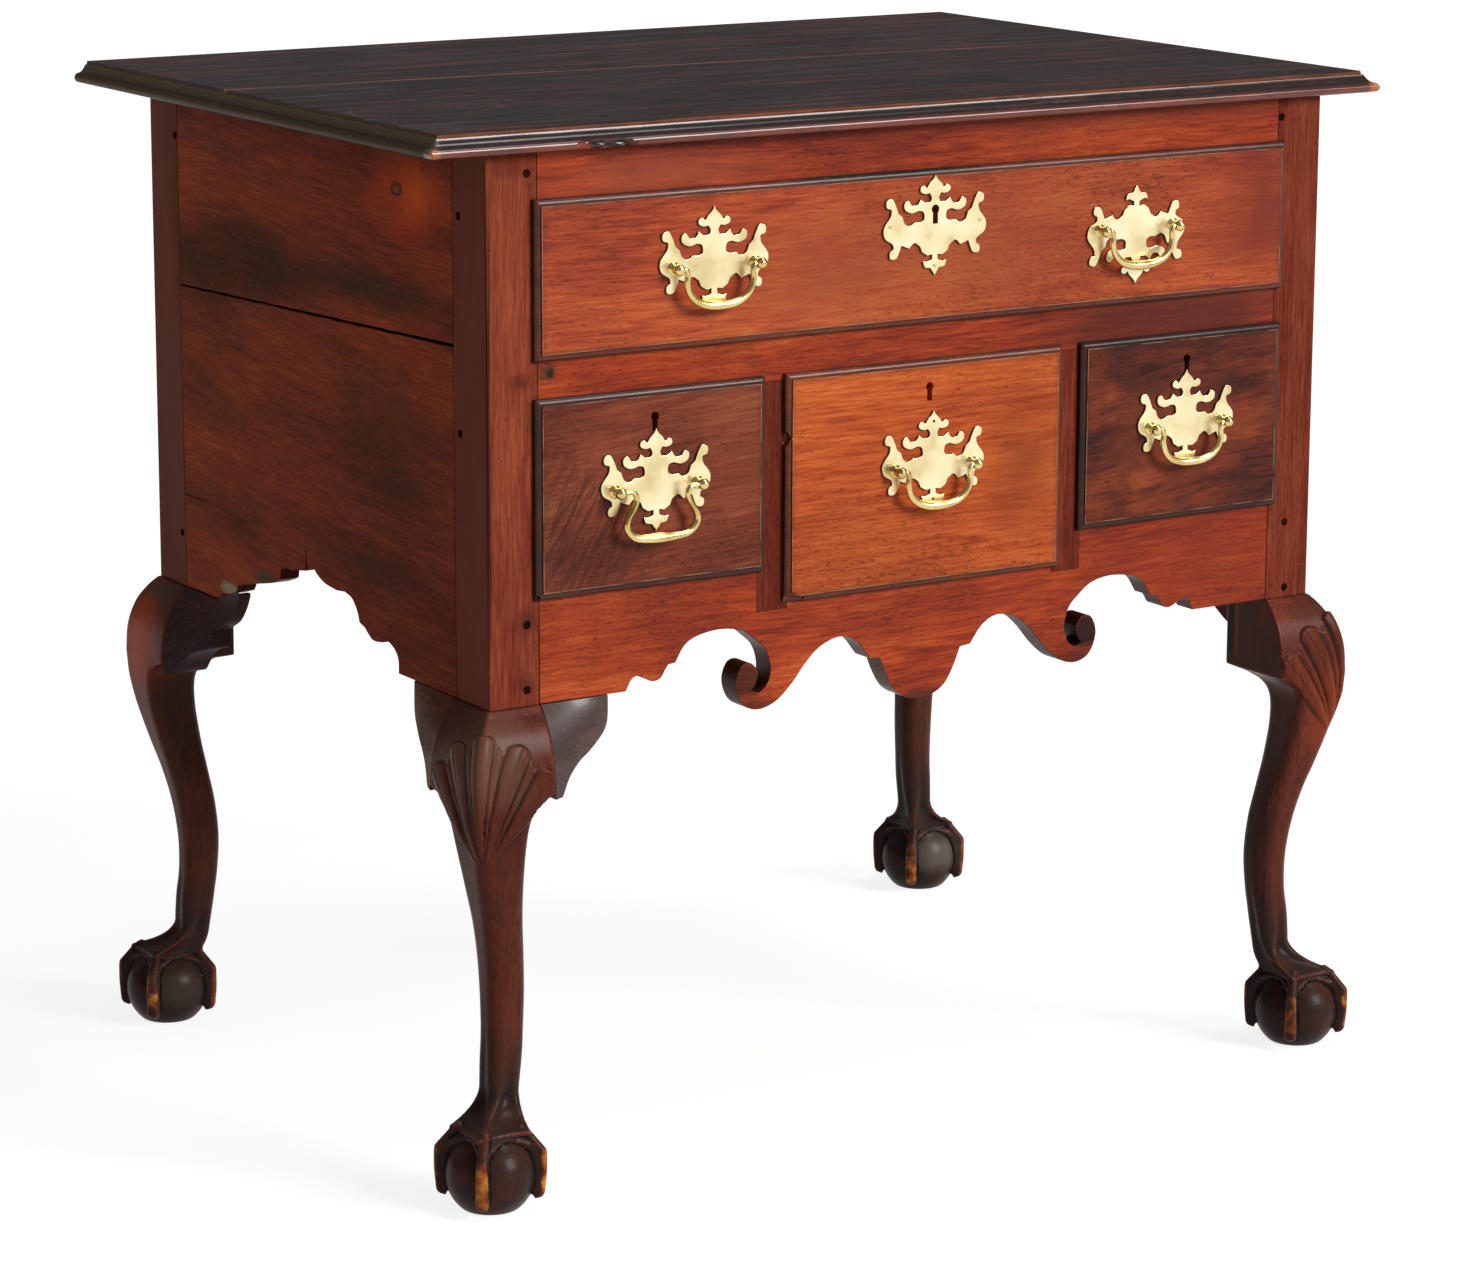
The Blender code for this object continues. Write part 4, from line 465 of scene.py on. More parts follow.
def ironMaterial(name):
    # Forged iron gone brown with a thin dry rust
    material, tree, place = freshMaterial(name, {"Roughness": 0.6, "Metallic": 0.7})
    rust = addNode(tree, "ShaderNodeTexNoise", {"Vector": place, "Scale": 140.0, "Detail": 6.0})
    feed(tree, {"Base Color": addNode(tree, "ShaderNodeValToRGB", {"Fac": rust,
            "stops": [(0.35, "#3C3632"), (0.55, "#5A4A40"), (0.72, "#7A4A2E")]}),
            "Normal": addNode(tree, "ShaderNodeBump", {"Strength": 0.4, "Distance": 0.0003, "Height": rust})})
    return material


pine, crossPine, iron = pineMaterial("rawPine", "Y"), pineMaterial("rawPineAcross", "X"), ironMaterial("rustedIron")
plateBrass = brassMaterial("polishedBrassPlate", {
    "tones": "#DAC48C #F3E2B2 #FAEFC8", "rim": 0.9, "smooth": 0.3, "rough": 0.4})
bailBrass = brassMaterial("polishedBrassBail", {
    "tones": "#B89858 #DCC07C #EED898", "rim": 0.0, "smooth": 0.18, "rough": 0.3})
print("stage: materials")


# Tools for modelling
def clearSelection():
    bpy.ops.object.select_all(action="DESELECT")


def pick(*pieces):
    clearSelection()
    for piece in pieces:
        piece.select_set(True)
    bpy.context.view_layer.objects.active = pieces[0]


def editAll(piece, *steps):
    # Each step in edit mode, on the whole mesh
    pick(piece)
    bpy.ops.object.mode_set(mode="EDIT")
    for step in steps:
        bpy.ops.mesh.select_all(action="SELECT")
        step()
    bpy.ops.object.mode_set(mode="OBJECT")


def applyModifiers(piece):
    pick(piece)
    for modifier in list(piece.modifiers):
        bpy.ops.object.modifier_apply(modifier=modifier.name)


def facesOutwards():
    bpy.ops.mesh.normals_make_consistent(inside=False)


def cleanMesh(piece, distance=0.00001):
    editAll(piece, lambda: bpy.ops.mesh.remove_doubles(threshold=distance), facesOutwards)
    return piece


def putInPlace(piece, place):
    piece.matrix_world = place
    pick(piece)
    bpy.ops.object.transform_apply()
    return piece


def newPiece(name, data):
    clearSelection()
    piece = bpy.data.objects.new(name, data)
    bpy.context.scene.collection.objects.link(piece)
    pick(piece)
    return piece


def finishPiece(piece, name, material, body, *nodes, angle=32, flat=True):
    pick(piece)
    bpy.ops.object.transform_apply()
    bpy.ops.mesh.customdata_custom_splitnormals_clear()
    bpy.ops.object.shade_smooth_by_angle(angle=radians(angle))
    if flat:
        # Broad faces stay flat and only the softened edges round off
        weighted = piece.modifiers.new("flat", "WEIGHTED_NORMAL")
        weighted.keep_sharp = True
        weighted.weight = 100
        applyModifiers(piece)
    piece.name = name
    piece.data.materials.clear()
    piece.data.materials.append(material)
    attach(piece, body)
    if nodes:
        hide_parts(*nodes)
    return piece


def softenEdges(piece, width, angle):
    bevel = piece.modifiers.new("edge", "BEVEL")
    bevel.width, bevel.segments = width, 2
    bevel.limit_method, bevel.angle_limit = "ANGLE", radians(angle)
    applyModifiers(piece)


def mirrored(points):
    # The same points on the other side of the middle, in the order that goes on from them
    return [(-p[0], *p[1:]) for p in reversed(points)]


def smoothLine(points, step, closed=True):
    # Points are (u, v, ...) and end with "s" where the line runs smoothly through them
    count = len(points)
    flags = [p[-1] == "s" for p in points]
    places = [Vector(p[:-1] if flag else p) for p, flag in zip(points, flags)]
    line = []
    for i in range(count if closed else count - 1):
        before, here, after, beyond = (places[(i + k) % count] for k in (-1, 0, 1, 2))
        bendsHere = flags[i] and (closed or i > 0)
        bendsAfter = flags[(i + 1) % count] and (closed or i < count - 2)
        leave = (after - before) / 2 if bendsHere else after - here
        arrive = (beyond - here) / 2 if bendsAfter else after - here
        pieces = max(1, ceil((after - here).length / step)) if bendsHere or bendsAfter else 1
        for k in range(pieces):
            t = k / pieces
            line.append(here * (2 * t ** 3 - 3 * t ** 2 + 1) + leave * (t ** 3 - 2 * t ** 2 + t)
                        + after * (3 * t ** 2 - 2 * t ** 3) + arrive * (t ** 3 - t ** 2))
    return line if closed else line + [places[-1]]


def curvePiece(points, radii, **settings):
    # A curve through the points, with its thickness from the settings, turned into a mesh
    curve = bpy.data.curves.new("outline", "CURVE")
    for key, value in settings.items():
        setattr(curve, key, value)
    spline = curve.splines.new("POLY")
    spline.points.add(len(points) - 1)
    for point, spotOn, radius in zip(spline.points, points, radii):
        point.co = (*spotOn, 1)
        point.radius = radius
    spline.use_cyclic_u = curve.dimensions == "2D"
    piece = newPiece("outline", curve)
    bpy.ops.object.convert(target="MESH")
    return piece


def sawnPiece(line, thickness, bevel, place):
    # A flat outline with softened edges, drawn as a filled curve in millimetres
    piece = curvePiece([(u * 1000, v * 1000, 0) for u, v in line], [1.0] * len(line), dimensions="2D",
                       fill_mode="BOTH", extrude=thickness * 500 - bevel * 1000, bevel_depth=bevel * 1000,
                       bevel_resolution=2, offset=-bevel * 1000)
    return cleanMesh(putInPlace(piece, place @ Matrix.Scale(0.001, 4)))


def roundBar(points, radii, resolution=4):
    return cleanMesh(curvePiece(points, radii, dimensions="3D", bevel_depth=1.0, bevel_resolution=resolution,
                                use_fill_caps=True))


def facingFront(y):
    return Matrix(((1, 0, 0, 0), (0, 0, 1, y), (0, 1, 0, 0), (0, 0, 0, 1)))


def facingSide(x):
    return Matrix(((0, 0, 1, x), (1, 0, 0, 0), (0, 1, 0, 0), (0, 0, 0, 1)))


def grownThrough(rings):
    # A circle laid on the first ring, extruded from ring to ring and closed at both ends
    clearSelection()
    bpy.ops.mesh.primitive_circle_add(vertices=len(rings[0]), fill_type="NOTHING")
    piece = bpy.context.object
    bpy.ops.object.mode_set(mode="EDIT")
    for level, ring in enumerate(rings):
        if level:
            bpy.ops.mesh.extrude_edges_move()
        grid = bmesh.from_edit_mesh(piece.data)
        grid.verts.ensure_lookup_table()
        for vert, spotOn in zip(grid.verts[level * len(ring):], ring):
            vert.co = spotOn
        bmesh.update_edit_mesh(piece.data)
    bpy.ops.object.mode_set(mode="OBJECT")
    editAll(piece, lambda: bpy.ops.mesh.fill_holes(sides=0), facesOutwards)
    return piece


def turnedPiece(profile, place, steps=28):
    # A profile of (radius, distance along Z) spun round Z and then put in place
    mesh = bpy.data.meshes.new("turned")
    mesh.from_pydata([(r, 0, z) for r, z in profile], [(i, i + 1) for i in range(len(profile) - 1)], [])
    piece = newPiece("turned", mesh)
    editAll(piece, lambda: bpy.ops.mesh.spin(steps=steps, angle=2 * pi, center=(0, 0, 0), axis=(0, 0, 1)))
    return putInPlace(cleanMesh(piece), place)


def block(low, high):
    clearSelection()
    middle = [(a + b) / 2 for a, b in zip(low, high)]
    bpy.ops.mesh.primitive_cube_add(size=1, location=middle, scale=[b - a for a, b in zip(low, high)])
    bpy.ops.object.transform_apply()
    return bpy.context.object


def openEdges(piece):
    grid = bmesh.new()
    grid.from_mesh(piece.data)
    count = sum(not edge.is_manifold for edge in grid.edges)
    grid.free()
    return count


def cutAway(piece, cutters):
    for number, cutter in enumerate(cutters):
        modifier = piece.modifiers.new(f"cut{number}", "BOOLEAN")
        modifier.operation = "DIFFERENCE"
        modifier.solver = "EXACT" if openEdges(piece) else "MANIFOLD"
        modifier.object = cutter
    applyModifiers(piece)
    for cutter in cutters:
        bpy.data.objects.remove(cutter, do_unlink=True)


def joinPieces(pieces):
    pick(*pieces)
    bpy.ops.object.join()
    return bpy.context.object


def copyOfNode(node):
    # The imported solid's mesh as a piece of its own, with its loose triangles merged
    return cleanMesh(newPiece(node + "Copy", bpy.data.objects[node].data.copy()))


def chip(centre, size):
    # A ragged pebble that breaks a bite out of an edge
    clearSelection()
    bpy.ops.mesh.primitive_ico_sphere_add(subdivisions=3, radius=1.0, location=(0, 0, 0))
    piece = bpy.context.object
    for vert in piece.data.vertices:
        vert.co *= 1.0 + 0.28 * noise.noise(vert.co * 2.3 + Vector(centre) * 97)
    return putInPlace(piece, Matrix.Translation(centre) @ Matrix.Diagonal((*size, 1)))


# Legs
legShape = {
    "footCentre": (0.364, 0.2608), "ballRadius": 0.0325, "ballHeight": 0.0256, "cornerSteps": 8,
    "sideSteps": 7, "ringStep": 0.0035, "voxel": 0.00096, "footTurn": 6.0, "footShift": 0.0022,
    "webProud": 0.0019, "webFlank": 0.005, "archTop": 0.0518, "archFoot": 0.03, "webFoot": 0.004, "crease": 0.0006,
    "hollowFrom": 12, "hollowGain": 0.012, "ridgeFrom": 45, "ridgeGain": 0.006, "ridgeMost": 0.6,
}
# Height, reach of the outer faces, reach of the inner faces in x and y, radii of the outer, side and inner
# corners, and how deep each side is hollowed
legRows = [
    (0.3597, 0.0018, 0.04, 0.0465, 0.0012, 0.0008, 0.0008, 0.0),
    (0.359, 0.0024, 0.04, 0.0465, 0.0015, 0.0008, 0.0008, 0.0, "s"),
    (0.352, 0.0085, 0.04, 0.0465, 0.0025, 0.0008, 0.0008, 0.0, "s"),
    (0.339, 0.0162, 0.04, 0.0465, 0.004, 0.001, 0.0008, 0.0, "s"),
    (0.321, 0.0215, 0.04, 0.0465, 0.006, 0.0012, 0.0008, 0.0, "s"),
    (0.3005, 0.0232, 0.04, 0.0465, 0.0075, 0.0018, 0.0008, 0.0),
    (0.2965, 0.0231, 0.032, 0.033, 0.008, 0.003, 0.003, 0.0),
    (0.29, 0.0228, 0.025, 0.025, 0.0085, 0.004, 0.007, 0.0, "s"),
    (0.279, 0.022, 0.0212, 0.0212, 0.009, 0.0055, 0.0098, 0.0, "s"),
    (0.258, 0.0184, 0.0212, 0.0212, 0.0097, 0.0085, 0.011, 0.0, "s"),
    (0.229, 0.0112, 0.0242, 0.0242, 0.0102, 0.011, 0.011, 0.0, "s"),
    (0.205, 0.0046, 0.0278, 0.0278, 0.0105, 0.012, 0.011, 0.0, "s"),
    (0.179, -0.0007, 0.0316, 0.0316, 0.0108, 0.0125, 0.011, 0.0, "s"),
    (0.151, -0.0038, 0.0334, 0.0334, 0.011, 0.0121, 0.011, 0.0, "s"),
    (0.124, -0.004, 0.0322, 0.0322, 0.0108, 0.0115, 0.0108, 0.0002, "s"),
    (0.103, -0.0024, 0.0296, 0.0296, 0.009, 0.01, 0.0095, 0.0008, "s"),
    (0.088, -0.0016, 0.0272, 0.0272, 0.008, 0.0085, 0.008, 0.001, "s"),
    (0.079, -0.0012, 0.0256, 0.0256, 0.0066, 0.0066, 0.0066, 0.002, "s"),
    (0.071, 0.003, 0.024, 0.024, 0.0048, 0.0048, 0.0048, 0.003, "s"),
    (0.065, 0.0098, 0.0222, 0.0222, 0.0034, 0.0034, 0.0036, 0.0034, "s"),
    (0.0606, 0.018, 0.0204, 0.0204, 0.0026, 0.0026, 0.0028, 0.0032, "s"),
    (0.058, 0.0238, 0.0196, 0.0196, 0.0022, 0.0022, 0.0022, 0.0026),
    (0.0555, 0.024, 0.0198, 0.0198, 0.0022, 0.0022, 0.0022, 0.0028),
    (0.0547, 0.0215, 0.0175, 0.0175, 0.0022, 0.0022, 0.0022, 0.003),
    (0.0535, 0.017, 0.013, 0.013, 0.002, 0.002, 0.002, 0.002),
    (0.046, 0.012, 0.008, 0.008, 0.002, 0.002, 0.002, 0.0),
]


def footMiddle(sideX, sideY, z):
    footX, footY = legShape["footCentre"]
    return Vector((sideX * footX, sideY * footY, z))


def legRing(sideX, sideY, row):
    z, out, innerX, innerY, outerRadius, sideRadius, innerRadius, hollow = row
    corners = [(out, out, outerRadius), (-innerX, out, sideRadius), (-innerX, -innerY, innerRadius),
               (out, -innerY, sideRadius)]
    arcs = []
    for number, (cornerX, cornerY, radius) in enumerate(corners):
        middle = Vector((cornerX - radius if number in (0, 3) else cornerX + radius,
                         cornerY - radius if number in (0, 1) else cornerY + radius))
        turns = [pi / 2 * (number + k / legShape["cornerSteps"]) for k in range(legShape["cornerSteps"] + 1)]
        arcs.append([middle + radius * Vector((cos(a), sin(a))) for a in turns])
    inward = [Vector((0, -1)), Vector((1, 0)), Vector((0, 1)), Vector((-1, 0))]
    slide = legShape["footShift"] * min(max((0.11 - z) / 0.045, 0.0), 1.0)
    ring = []
    for number, arc in enumerate(arcs):
        ring += arc
        start, end = arc[-1], arcs[(number + 1) % 4][0]
        for k in range(1, legShape["sideSteps"] + 1):
            t = k / (legShape["sideSteps"] + 1)
            ring.append(start.lerp(end, t) + inward[number] * hollow * (1 - (2 * t - 1) ** 2))
    return [(sideX * (caseSizes["halfWidth"] + p.x), sideY * (caseSizes["halfDepth"] + p.y - slide), z) for p in ring]


# A claw: distance from the middle of the ball, height, half width and depth behind the outer face
clawRows = [
    (0.0215, 0.0624, 0.0028, 0.008), (0.0255, 0.0598, 0.0035, 0.012, "s"), (0.03, 0.0553, 0.0039, 0.017, "s"),
    (0.0365, 0.0478, 0.004, 0.018), (0.0398, 0.044, 0.0041, 0.017), (0.0403, 0.0408, 0.0043, 0.015),
    (0.0402, 0.027, 0.0048, 0.014, "s"), (0.0388, 0.012, 0.0052, 0.014), (0.037, 0.0092, 0.0048, 0.014),
    (0.032, 0.0074, 0.004, 0.012),
]


def clawPiece(sideX, sideY, turn):
    diagonal = Vector((sideX, sideY, 0)).normalized()
    outward = Matrix.Rotation(turn, 3, "Z") @ diagonal
    sideways = Vector((-outward.y, outward.x, 0))
    centre = footMiddle(sideX, sideY, 0)
    rows = smoothLine(clawRows, 0.002, closed=False)
    rings = []
    for number, row in enumerate(rows):
        reach, z, half, depth = row
        before, after = rows[max(number - 1, 0)], rows[min(number + 1, len(rows) - 1)]
        run = Vector((after[0] - before[0], after[1] - before[1])).normalized()
        inward = Vector((run.y, -run.x))
        ring = []
        # Outer face a little rounded, sides running back into the ball
        for across, deep in ((-1.0, 0.85), (-1.0, 0.3), (-0.86, 0.07), (-0.45, 0.0), (0.0, -0.015), (0.45, 0.0),
                             (0.86, 0.07), (1.0, 0.3), (1.0, 0.85), (0.5, 1.0), (-0.5, 1.0)):
            r = reach + inward.x * depth * deep
            ring.append(centre + outward * r + sideways * half * across + Vector((0, 0, z + inward.y * depth * deep)))
        rings.append(ring)
    return grownThrough(rings)


def footWeb(sideX, sideY, turn):
    # The skin between the claws: a cap on the ball that ends in a round arch from claw to claw
    clearSelection()
    bpy.ops.mesh.primitive_uv_sphere_add(segments=160, ring_count=96, radius=1.0, location=(0, 0, 0))
    web = bpy.context.object
    first = atan2(sideY, sideX) + turn
    for vert in web.data.vertices:
        aside = (atan2(vert.co.y, vert.co.x) - first + pi / 4) % (pi / 2) - pi / 4
        towards = 1 - abs(aside) / (pi / 4)
        arch = legShape["archTop"] - (legShape["archTop"] - legShape["archFoot"]) * (1 - (1 - towards ** 2.4) ** 0.5)
        z = legShape["ballHeight"] + legShape["ballRadius"] * vert.co.z
        proud = legShape["webProud"] + legShape["webFlank"] * towards ** 2 if z > arch else -0.003
        vert.co *= legShape["ballRadius"] + proud
        vert.co.z = max(vert.co.z, legShape["webFoot"] - legShape["ballHeight"])
    web.location = footMiddle(sideX, sideY, legShape["ballHeight"])
    bpy.ops.object.transform_apply()
    return web


# The shell on a front knee, drawn on the unrolled outer faces
shellShape = {"foot": 0.249, "reach": 0.0975, "pitch": 21.0, "relief": 0.0026, "lobes": 2, "ribSide": 0.58,
              "grooveSide": 0.66, "top": 0.356, "tipRun": 0.0016, "footRun": 0.03}


def shellRelief(across, up):
    # How far the shell stands proud at a place across from the corner and up from its foot
    reach = hypot(across, up)
    if up < 0.002 or reach < 0.004:
        return 0.0
    angle = abs(atan2(across, up)) * 180 / pi
    angle = angle * (1 + 0.1 * (reach / shellShape["reach"] - 0.6))
    lobe = min(round(angle / shellShape["pitch"]), shellShape["lobes"])
    aside = (angle - lobe * shellShape["pitch"]) / (shellShape["pitch"] / 2)
    edge = abs(aside)
    limit = shellShape["reach"] * (1.0 - 0.035 * lobe) - 0.009 * min(edge, 1.0) ** 2
    if edge > 1.0:
        rib = 0.0
    elif edge < shellShape["ribSide"]:
        rib = 1.0 - 0.45 * (edge / shellShape["ribSide"]) ** 2
    elif edge < shellShape["grooveSide"]:
        rib = 0.55 - 0.5 * (edge - shellShape["ribSide"]) / 0.08
    else:
        rib = 0.05 + 0.42 * ((edge - shellShape["grooveSide"]) / 0.34) ** 1.5
    if lobe == shellShape["lobes"] and aside > 0.6:
        rib = max(0.0, 0.55 - 4.0 * (aside - 0.6))
    if lobe and abs(aside - 0.12) < 0.07:
        rib -= 0.3 * (1 - abs(aside - 0.12) / 0.07)
    tip = min(max((limit - reach) / shellShape["tipRun"], 0.0), 1.0)
    start = min(max((reach - 0.006) / shellShape["footRun"], 0.0), 1.0)
    return shellShape["relief"] * rib * tip * start


def carveShell(piece, sideX, sideY):
    # Only the two outer faces of the knee are carved
    spots = piece.data.vertices
    for vert, normal in zip(spots, [v.normal.copy() for v in spots]):
        outX = sideX * vert.co.x - caseSizes["halfWidth"]
        outY = sideY * vert.co.y - caseSizes["halfDepth"]
        outwards = min(normal.x * sideX, normal.y * sideY) >= -0.3 and max(outX, outY) >= -0.004
        if outwards and 0.25 < vert.co.z < shellShape["top"]:
            vert.co += normal * shellRelief(outY - outX, vert.co.z - shellShape["foot"])


def footCrease(piece, sideX, sideY):
    # A chiselled line where the claws and the web meet the ball
    centre = footMiddle(sideX, sideY, legShape["ballHeight"])
    for vert in piece.data.vertices:
        gap = (vert.co - centre).length - legShape["ballRadius"]
        if vert.co.z <= 0.06 and 0.0002 < gap < 0.0012:
            vert.co += (centre - vert.co).normalized() * legShape["crease"]


def keepHollows(piece):
    # How hollow or proud the surface is at each point, spread a little and kept as attributes
    mesh = piece.data
    count = len(mesh.vertices)
    spots, normals = np.empty(count * 3), np.empty(count * 3)
    mesh.vertices.foreach_get("co", spots)
    mesh.vertices.foreach_get("normal", normals)
    spots, normals = spots.reshape(-1, 3), normals.reshape(-1, 3)
    ends = np.empty(len(mesh.edges) * 2, dtype=np.int64)
    mesh.edges.foreach_get("vertices", ends)
    ends = ends.reshape(-1, 2)
    run = spots[ends[:, 1]] - spots[ends[:, 0]]
    lengths = np.maximum(np.linalg.norm(run, axis=1), 1e-7)
    bend, degree = np.zeros(count), np.zeros(count)
    for end, sign in ((0, 1), (1, -1)):
        np.add.at(bend, ends[:, end], sign * (normals[ends[:, end]] * run).sum(1) / lengths ** 2)
    for end in (0, 1):
        np.add.at(degree, ends[:, end], 1)
    bend /= np.maximum(degree, 1)
    for _ in range(3):
        total = bend * 2
        for end in (0, 1):
            np.add.at(total, ends[:, end], bend[ends[:, 1 - end]])
        bend = total / (degree + 2)
    hollow = np.clip((bend - legShape["hollowFrom"]) * legShape["hollowGain"], 0, 1)
    ridge = np.clip((-bend - legShape["ridgeFrom"]) * legShape["ridgeGain"], 0, legShape["ridgeMost"])
    for label, values in (("hollow", hollow), ("ridge", ridge)):
        layer = mesh.attributes.new(label, "FLOAT", "POINT")
        layer.data.foreach_set("value", values.astype(np.float32))


legWalnut = walnutMaterial("carvedWalnutLeg", {
    "grain": "Z", "tones": "#331814 #4E251C #642D21 #7A3626", "grime": "#38241D", "age": 0.6, "patches": 13.0,
    "glossy": 0.28, "dull": 0.44, "specular": 0.05, "coat": 0.06, "coatRoughness": 0.2, "dust": 0.4,
    "marks": [(outwardTone, "#7C3419", "#462C20", 0.3, 0.4), (dullFoot,),
              (stain, (-0.384, 0.262, 0.312), (0.05, 0.04, 0.055), "#C24A1E", 0.8, 0.85),
              (stain, (-0.37, 0.24, 0.352), (0.03, 0.04, 0.01), "#4E4232", 0.7, 0.7),
              # Grey on the top of the front left knee: dust, and a painted sheen
              (stain, (-0.384, -0.27, 0.328), (0.06, 0.06, 0.042), "#7C5E4C", 0.9, 0.6),
              (stain, (0.375, -0.28, 0.272), (0.03, 0.03, 0.05), "#A0401E", 0.9, 0.6),
              (stain, (0.364, 0.23, 0.036), (0.034, 0.02, 0.022), "#6E665A", 0.7, 0.6),
              (stain, (-0.372, 0.231, 0.034), (0.034, 0.02, 0.022), "#4E463C", 0.7, 0.5),
              (patch, (0.3222, -0.227, 0.333), (0.004, 0.0022, 0.029), "#8E4A24", 0.3, 0.75),
              (patch, (0.3222, -0.219, 0.333), (0.004, 0.0046, 0.029), "#140D0B", 0.3, 0.8),
              (hollowGrime,), (clawWear, *legShape["footCentre"])]})


def carvedLeg(name, node, sideX, sideY, withShell, footTurn):
    rows = [tuple(row) for row in smoothLine(legRows, legShape["ringStep"], closed=False)]
    shaft = grownThrough([legRing(sideX, sideY, row) for row in rows])
    clearSelection()
    bpy.ops.mesh.primitive_uv_sphere_add(segments=48, ring_count=28, radius=legShape["ballRadius"],
                                         location=footMiddle(sideX, sideY, legShape["ballHeight"]))
    ball = bpy.context.object
    bpy.ops.object.transform_apply()
    for vert in ball.data.vertices:
        vert.co.z = max(vert.co.z, 0.0)
    claws = [clawPiece(sideX, sideY, k * pi / 2 + footTurn) for k in range(4)]
    leg = joinPieces([shaft, ball, footWeb(sideX, sideY, footTurn)] + claws)
    remesh = leg.modifiers.new("union", "REMESH")
    remesh.mode = "VOXEL"
    remesh.voxel_size = legShape["voxel"]
    applyModifiers(leg)
    editAll(leg, lambda: bpy.ops.mesh.vertices_smooth(factor=0.5, repeat=2))
    if withShell:
        carveShell(leg, sideX, sideY)
    footCrease(leg, sideX, sideY)
    keepHollows(leg)
    post = copyOfNode(node)
    editAll(post, lambda: bpy.ops.mesh.bisect(plane_co=(0, 0, caseSizes["bottom"]), plane_no=(0, 0, 1),
                                              use_fill=True, clear_inner=True))
    finishPiece(post, name + "Post", postWalnut, "case", node)
    finishPiece(leg, name, legWalnut, "case", node, angle=60, flat=False)


for row, sideY in (("Front", -1), ("Rear", 1)):
    for side, sideX in (("Left", -1), ("Right", 1)):
        turn = radians(legShape["footTurn"]) if (sideX, sideY) == (-1, -1) else 0.0
        carvedLeg(f"leg{row}{side}", f"leg_{row.lower()}_{side.lower()}", sideX, sideY, sideY < 0, turn)
print("stage: four legs")


# Knee brackets
bracketShape = {"frontLength": 0.055, "sideLength": 0.0615, "steppedLength": 0.094, "frontBack": 0.016,
                "sideBack": 0.01, "ringStep": 0.0025, "bulge": 0.93, "endBulge": 0.02, "edge": 0.0007}
ogeeEdge = [
    (0.0, 0.296), (0.12, 0.2966), (0.25, 0.309, "s"), (0.44, 0.3185, "s"), (0.62, 0.3235, "s"),
    (0.77, 0.3285, "s"), (0.91, 0.3345, "s"), (0.98, 0.341, "s"), (1.0, 0.349),
]
steppedEdge = [
    (0.0, 0.293), (0.11, 0.295, "s"), (0.24, 0.3073, "s"), (0.38, 0.316, "s"), (0.47, 0.3186),
    (0.535, 0.3204, "s"), (0.57, 0.324), (0.575, 0.3352), (0.64, 0.3385, "s"), (0.775, 0.3455, "s"),
    (0.88, 0.356, "s"), (0.945, 0.366, "s"), (0.952, 0.369),
]


def kneeBulge(z):
    for above, below in zip(legRows, legRows[1:]):
        if z >= below[0]:
            t = (z - below[0]) / (above[0] - below[0])
            return below[1] + (above[1] - below[1]) * min(max(t, 0.0), 1.0)
    return 0.0


# How high the stepped bracket's top stands along its length, to fill the torn place above it
steppedTop = [(0.0, 0.3597), (0.57, 0.3597), (0.65, 0.364), (0.9, 0.3698), (1.0, 0.3705)]
bracketWalnut = walnutMaterial("carvedWalnutBracket", {
    "grain": "X", "tones": "#2C1C1A #3E2822 #4C3028 #5C3A2E", "grime": "#332723", "age": 0.6, "patches": 15.0,
    "dull": 0.42, "specular": 0.36, "coat": 0.25})
sideBracketWalnut = walnutMaterial("agedWalnutBracket", {
    "grain": "Y", "tones": "#502A20 #653426 #74402C #844A32", "grime": "#473026", "age": 0.6, "patches": 15.0,
    "glossy": 0.34, "dull": 0.48, "specular": 0.03, "dust": 0.5})
rearBracketWalnut = walnutMaterial("darkWalnutBracket", {
    "grain": "Y", "tones": "#38282A #45302F #4E3432 #5A3A35", "grime": "#352C2A", "age": 0.6, "patches": 15.0,
    "glossy": 0.36, "dull": 0.5, "specular": 0.02, "dust": 1.0})


def heightAlong(line, share):
    for (a, low), (b, high) in zip(line, line[1:]):
        if share <= b:
            return low + (high - low) * (share - a) / (b - a)
    return line[-1][1]


def kneeBracket(name, node, sideX, sideY, alongX, edge, length, back, wood, fadePower=0.8, top=None):
    mm = [(share * length, z, *rest) for (share, z, *rest) in edge]
    rings = []
    for distance, zLow in smoothLine(mm, bracketShape["ringStep"], closed=False):
        share = distance / length
        fade = bracketShape["bulge"] * max(1 - share, 0.0) ** fadePower + bracketShape["endBulge"]
        zHigh = heightAlong(top, share) if top else caseSizes["bottom"] - caseSizes["fit"]
        heights = [zHigh + (zLow - zHigh) * k / 12 for k in range(13)]
        section = [(kneeBulge(z) * fade, z) for z in heights]
        section += [(-back * t, zLow) for t in (0.33, 0.66, 1.0)] + [(-back, zHigh)]
        gone = distance + caseSizes["fit"]
        if alongX:
            rings.append([(sideX * (caseSizes["postInnerX"] - gone), sideY * (caseSizes["halfDepth"] + out), z)
                          for out, z in section])
        else:
            rings.append([(sideX * (caseSizes["halfWidth"] + out), sideY * (caseSizes["postInnerY"] - gone), z)
                          for out, z in section])
    bracket = grownThrough(rings)
    softenEdges(bracket, bracketShape["edge"], 50)
    finishPiece(bracket, name, wood, "case", node, angle=40)


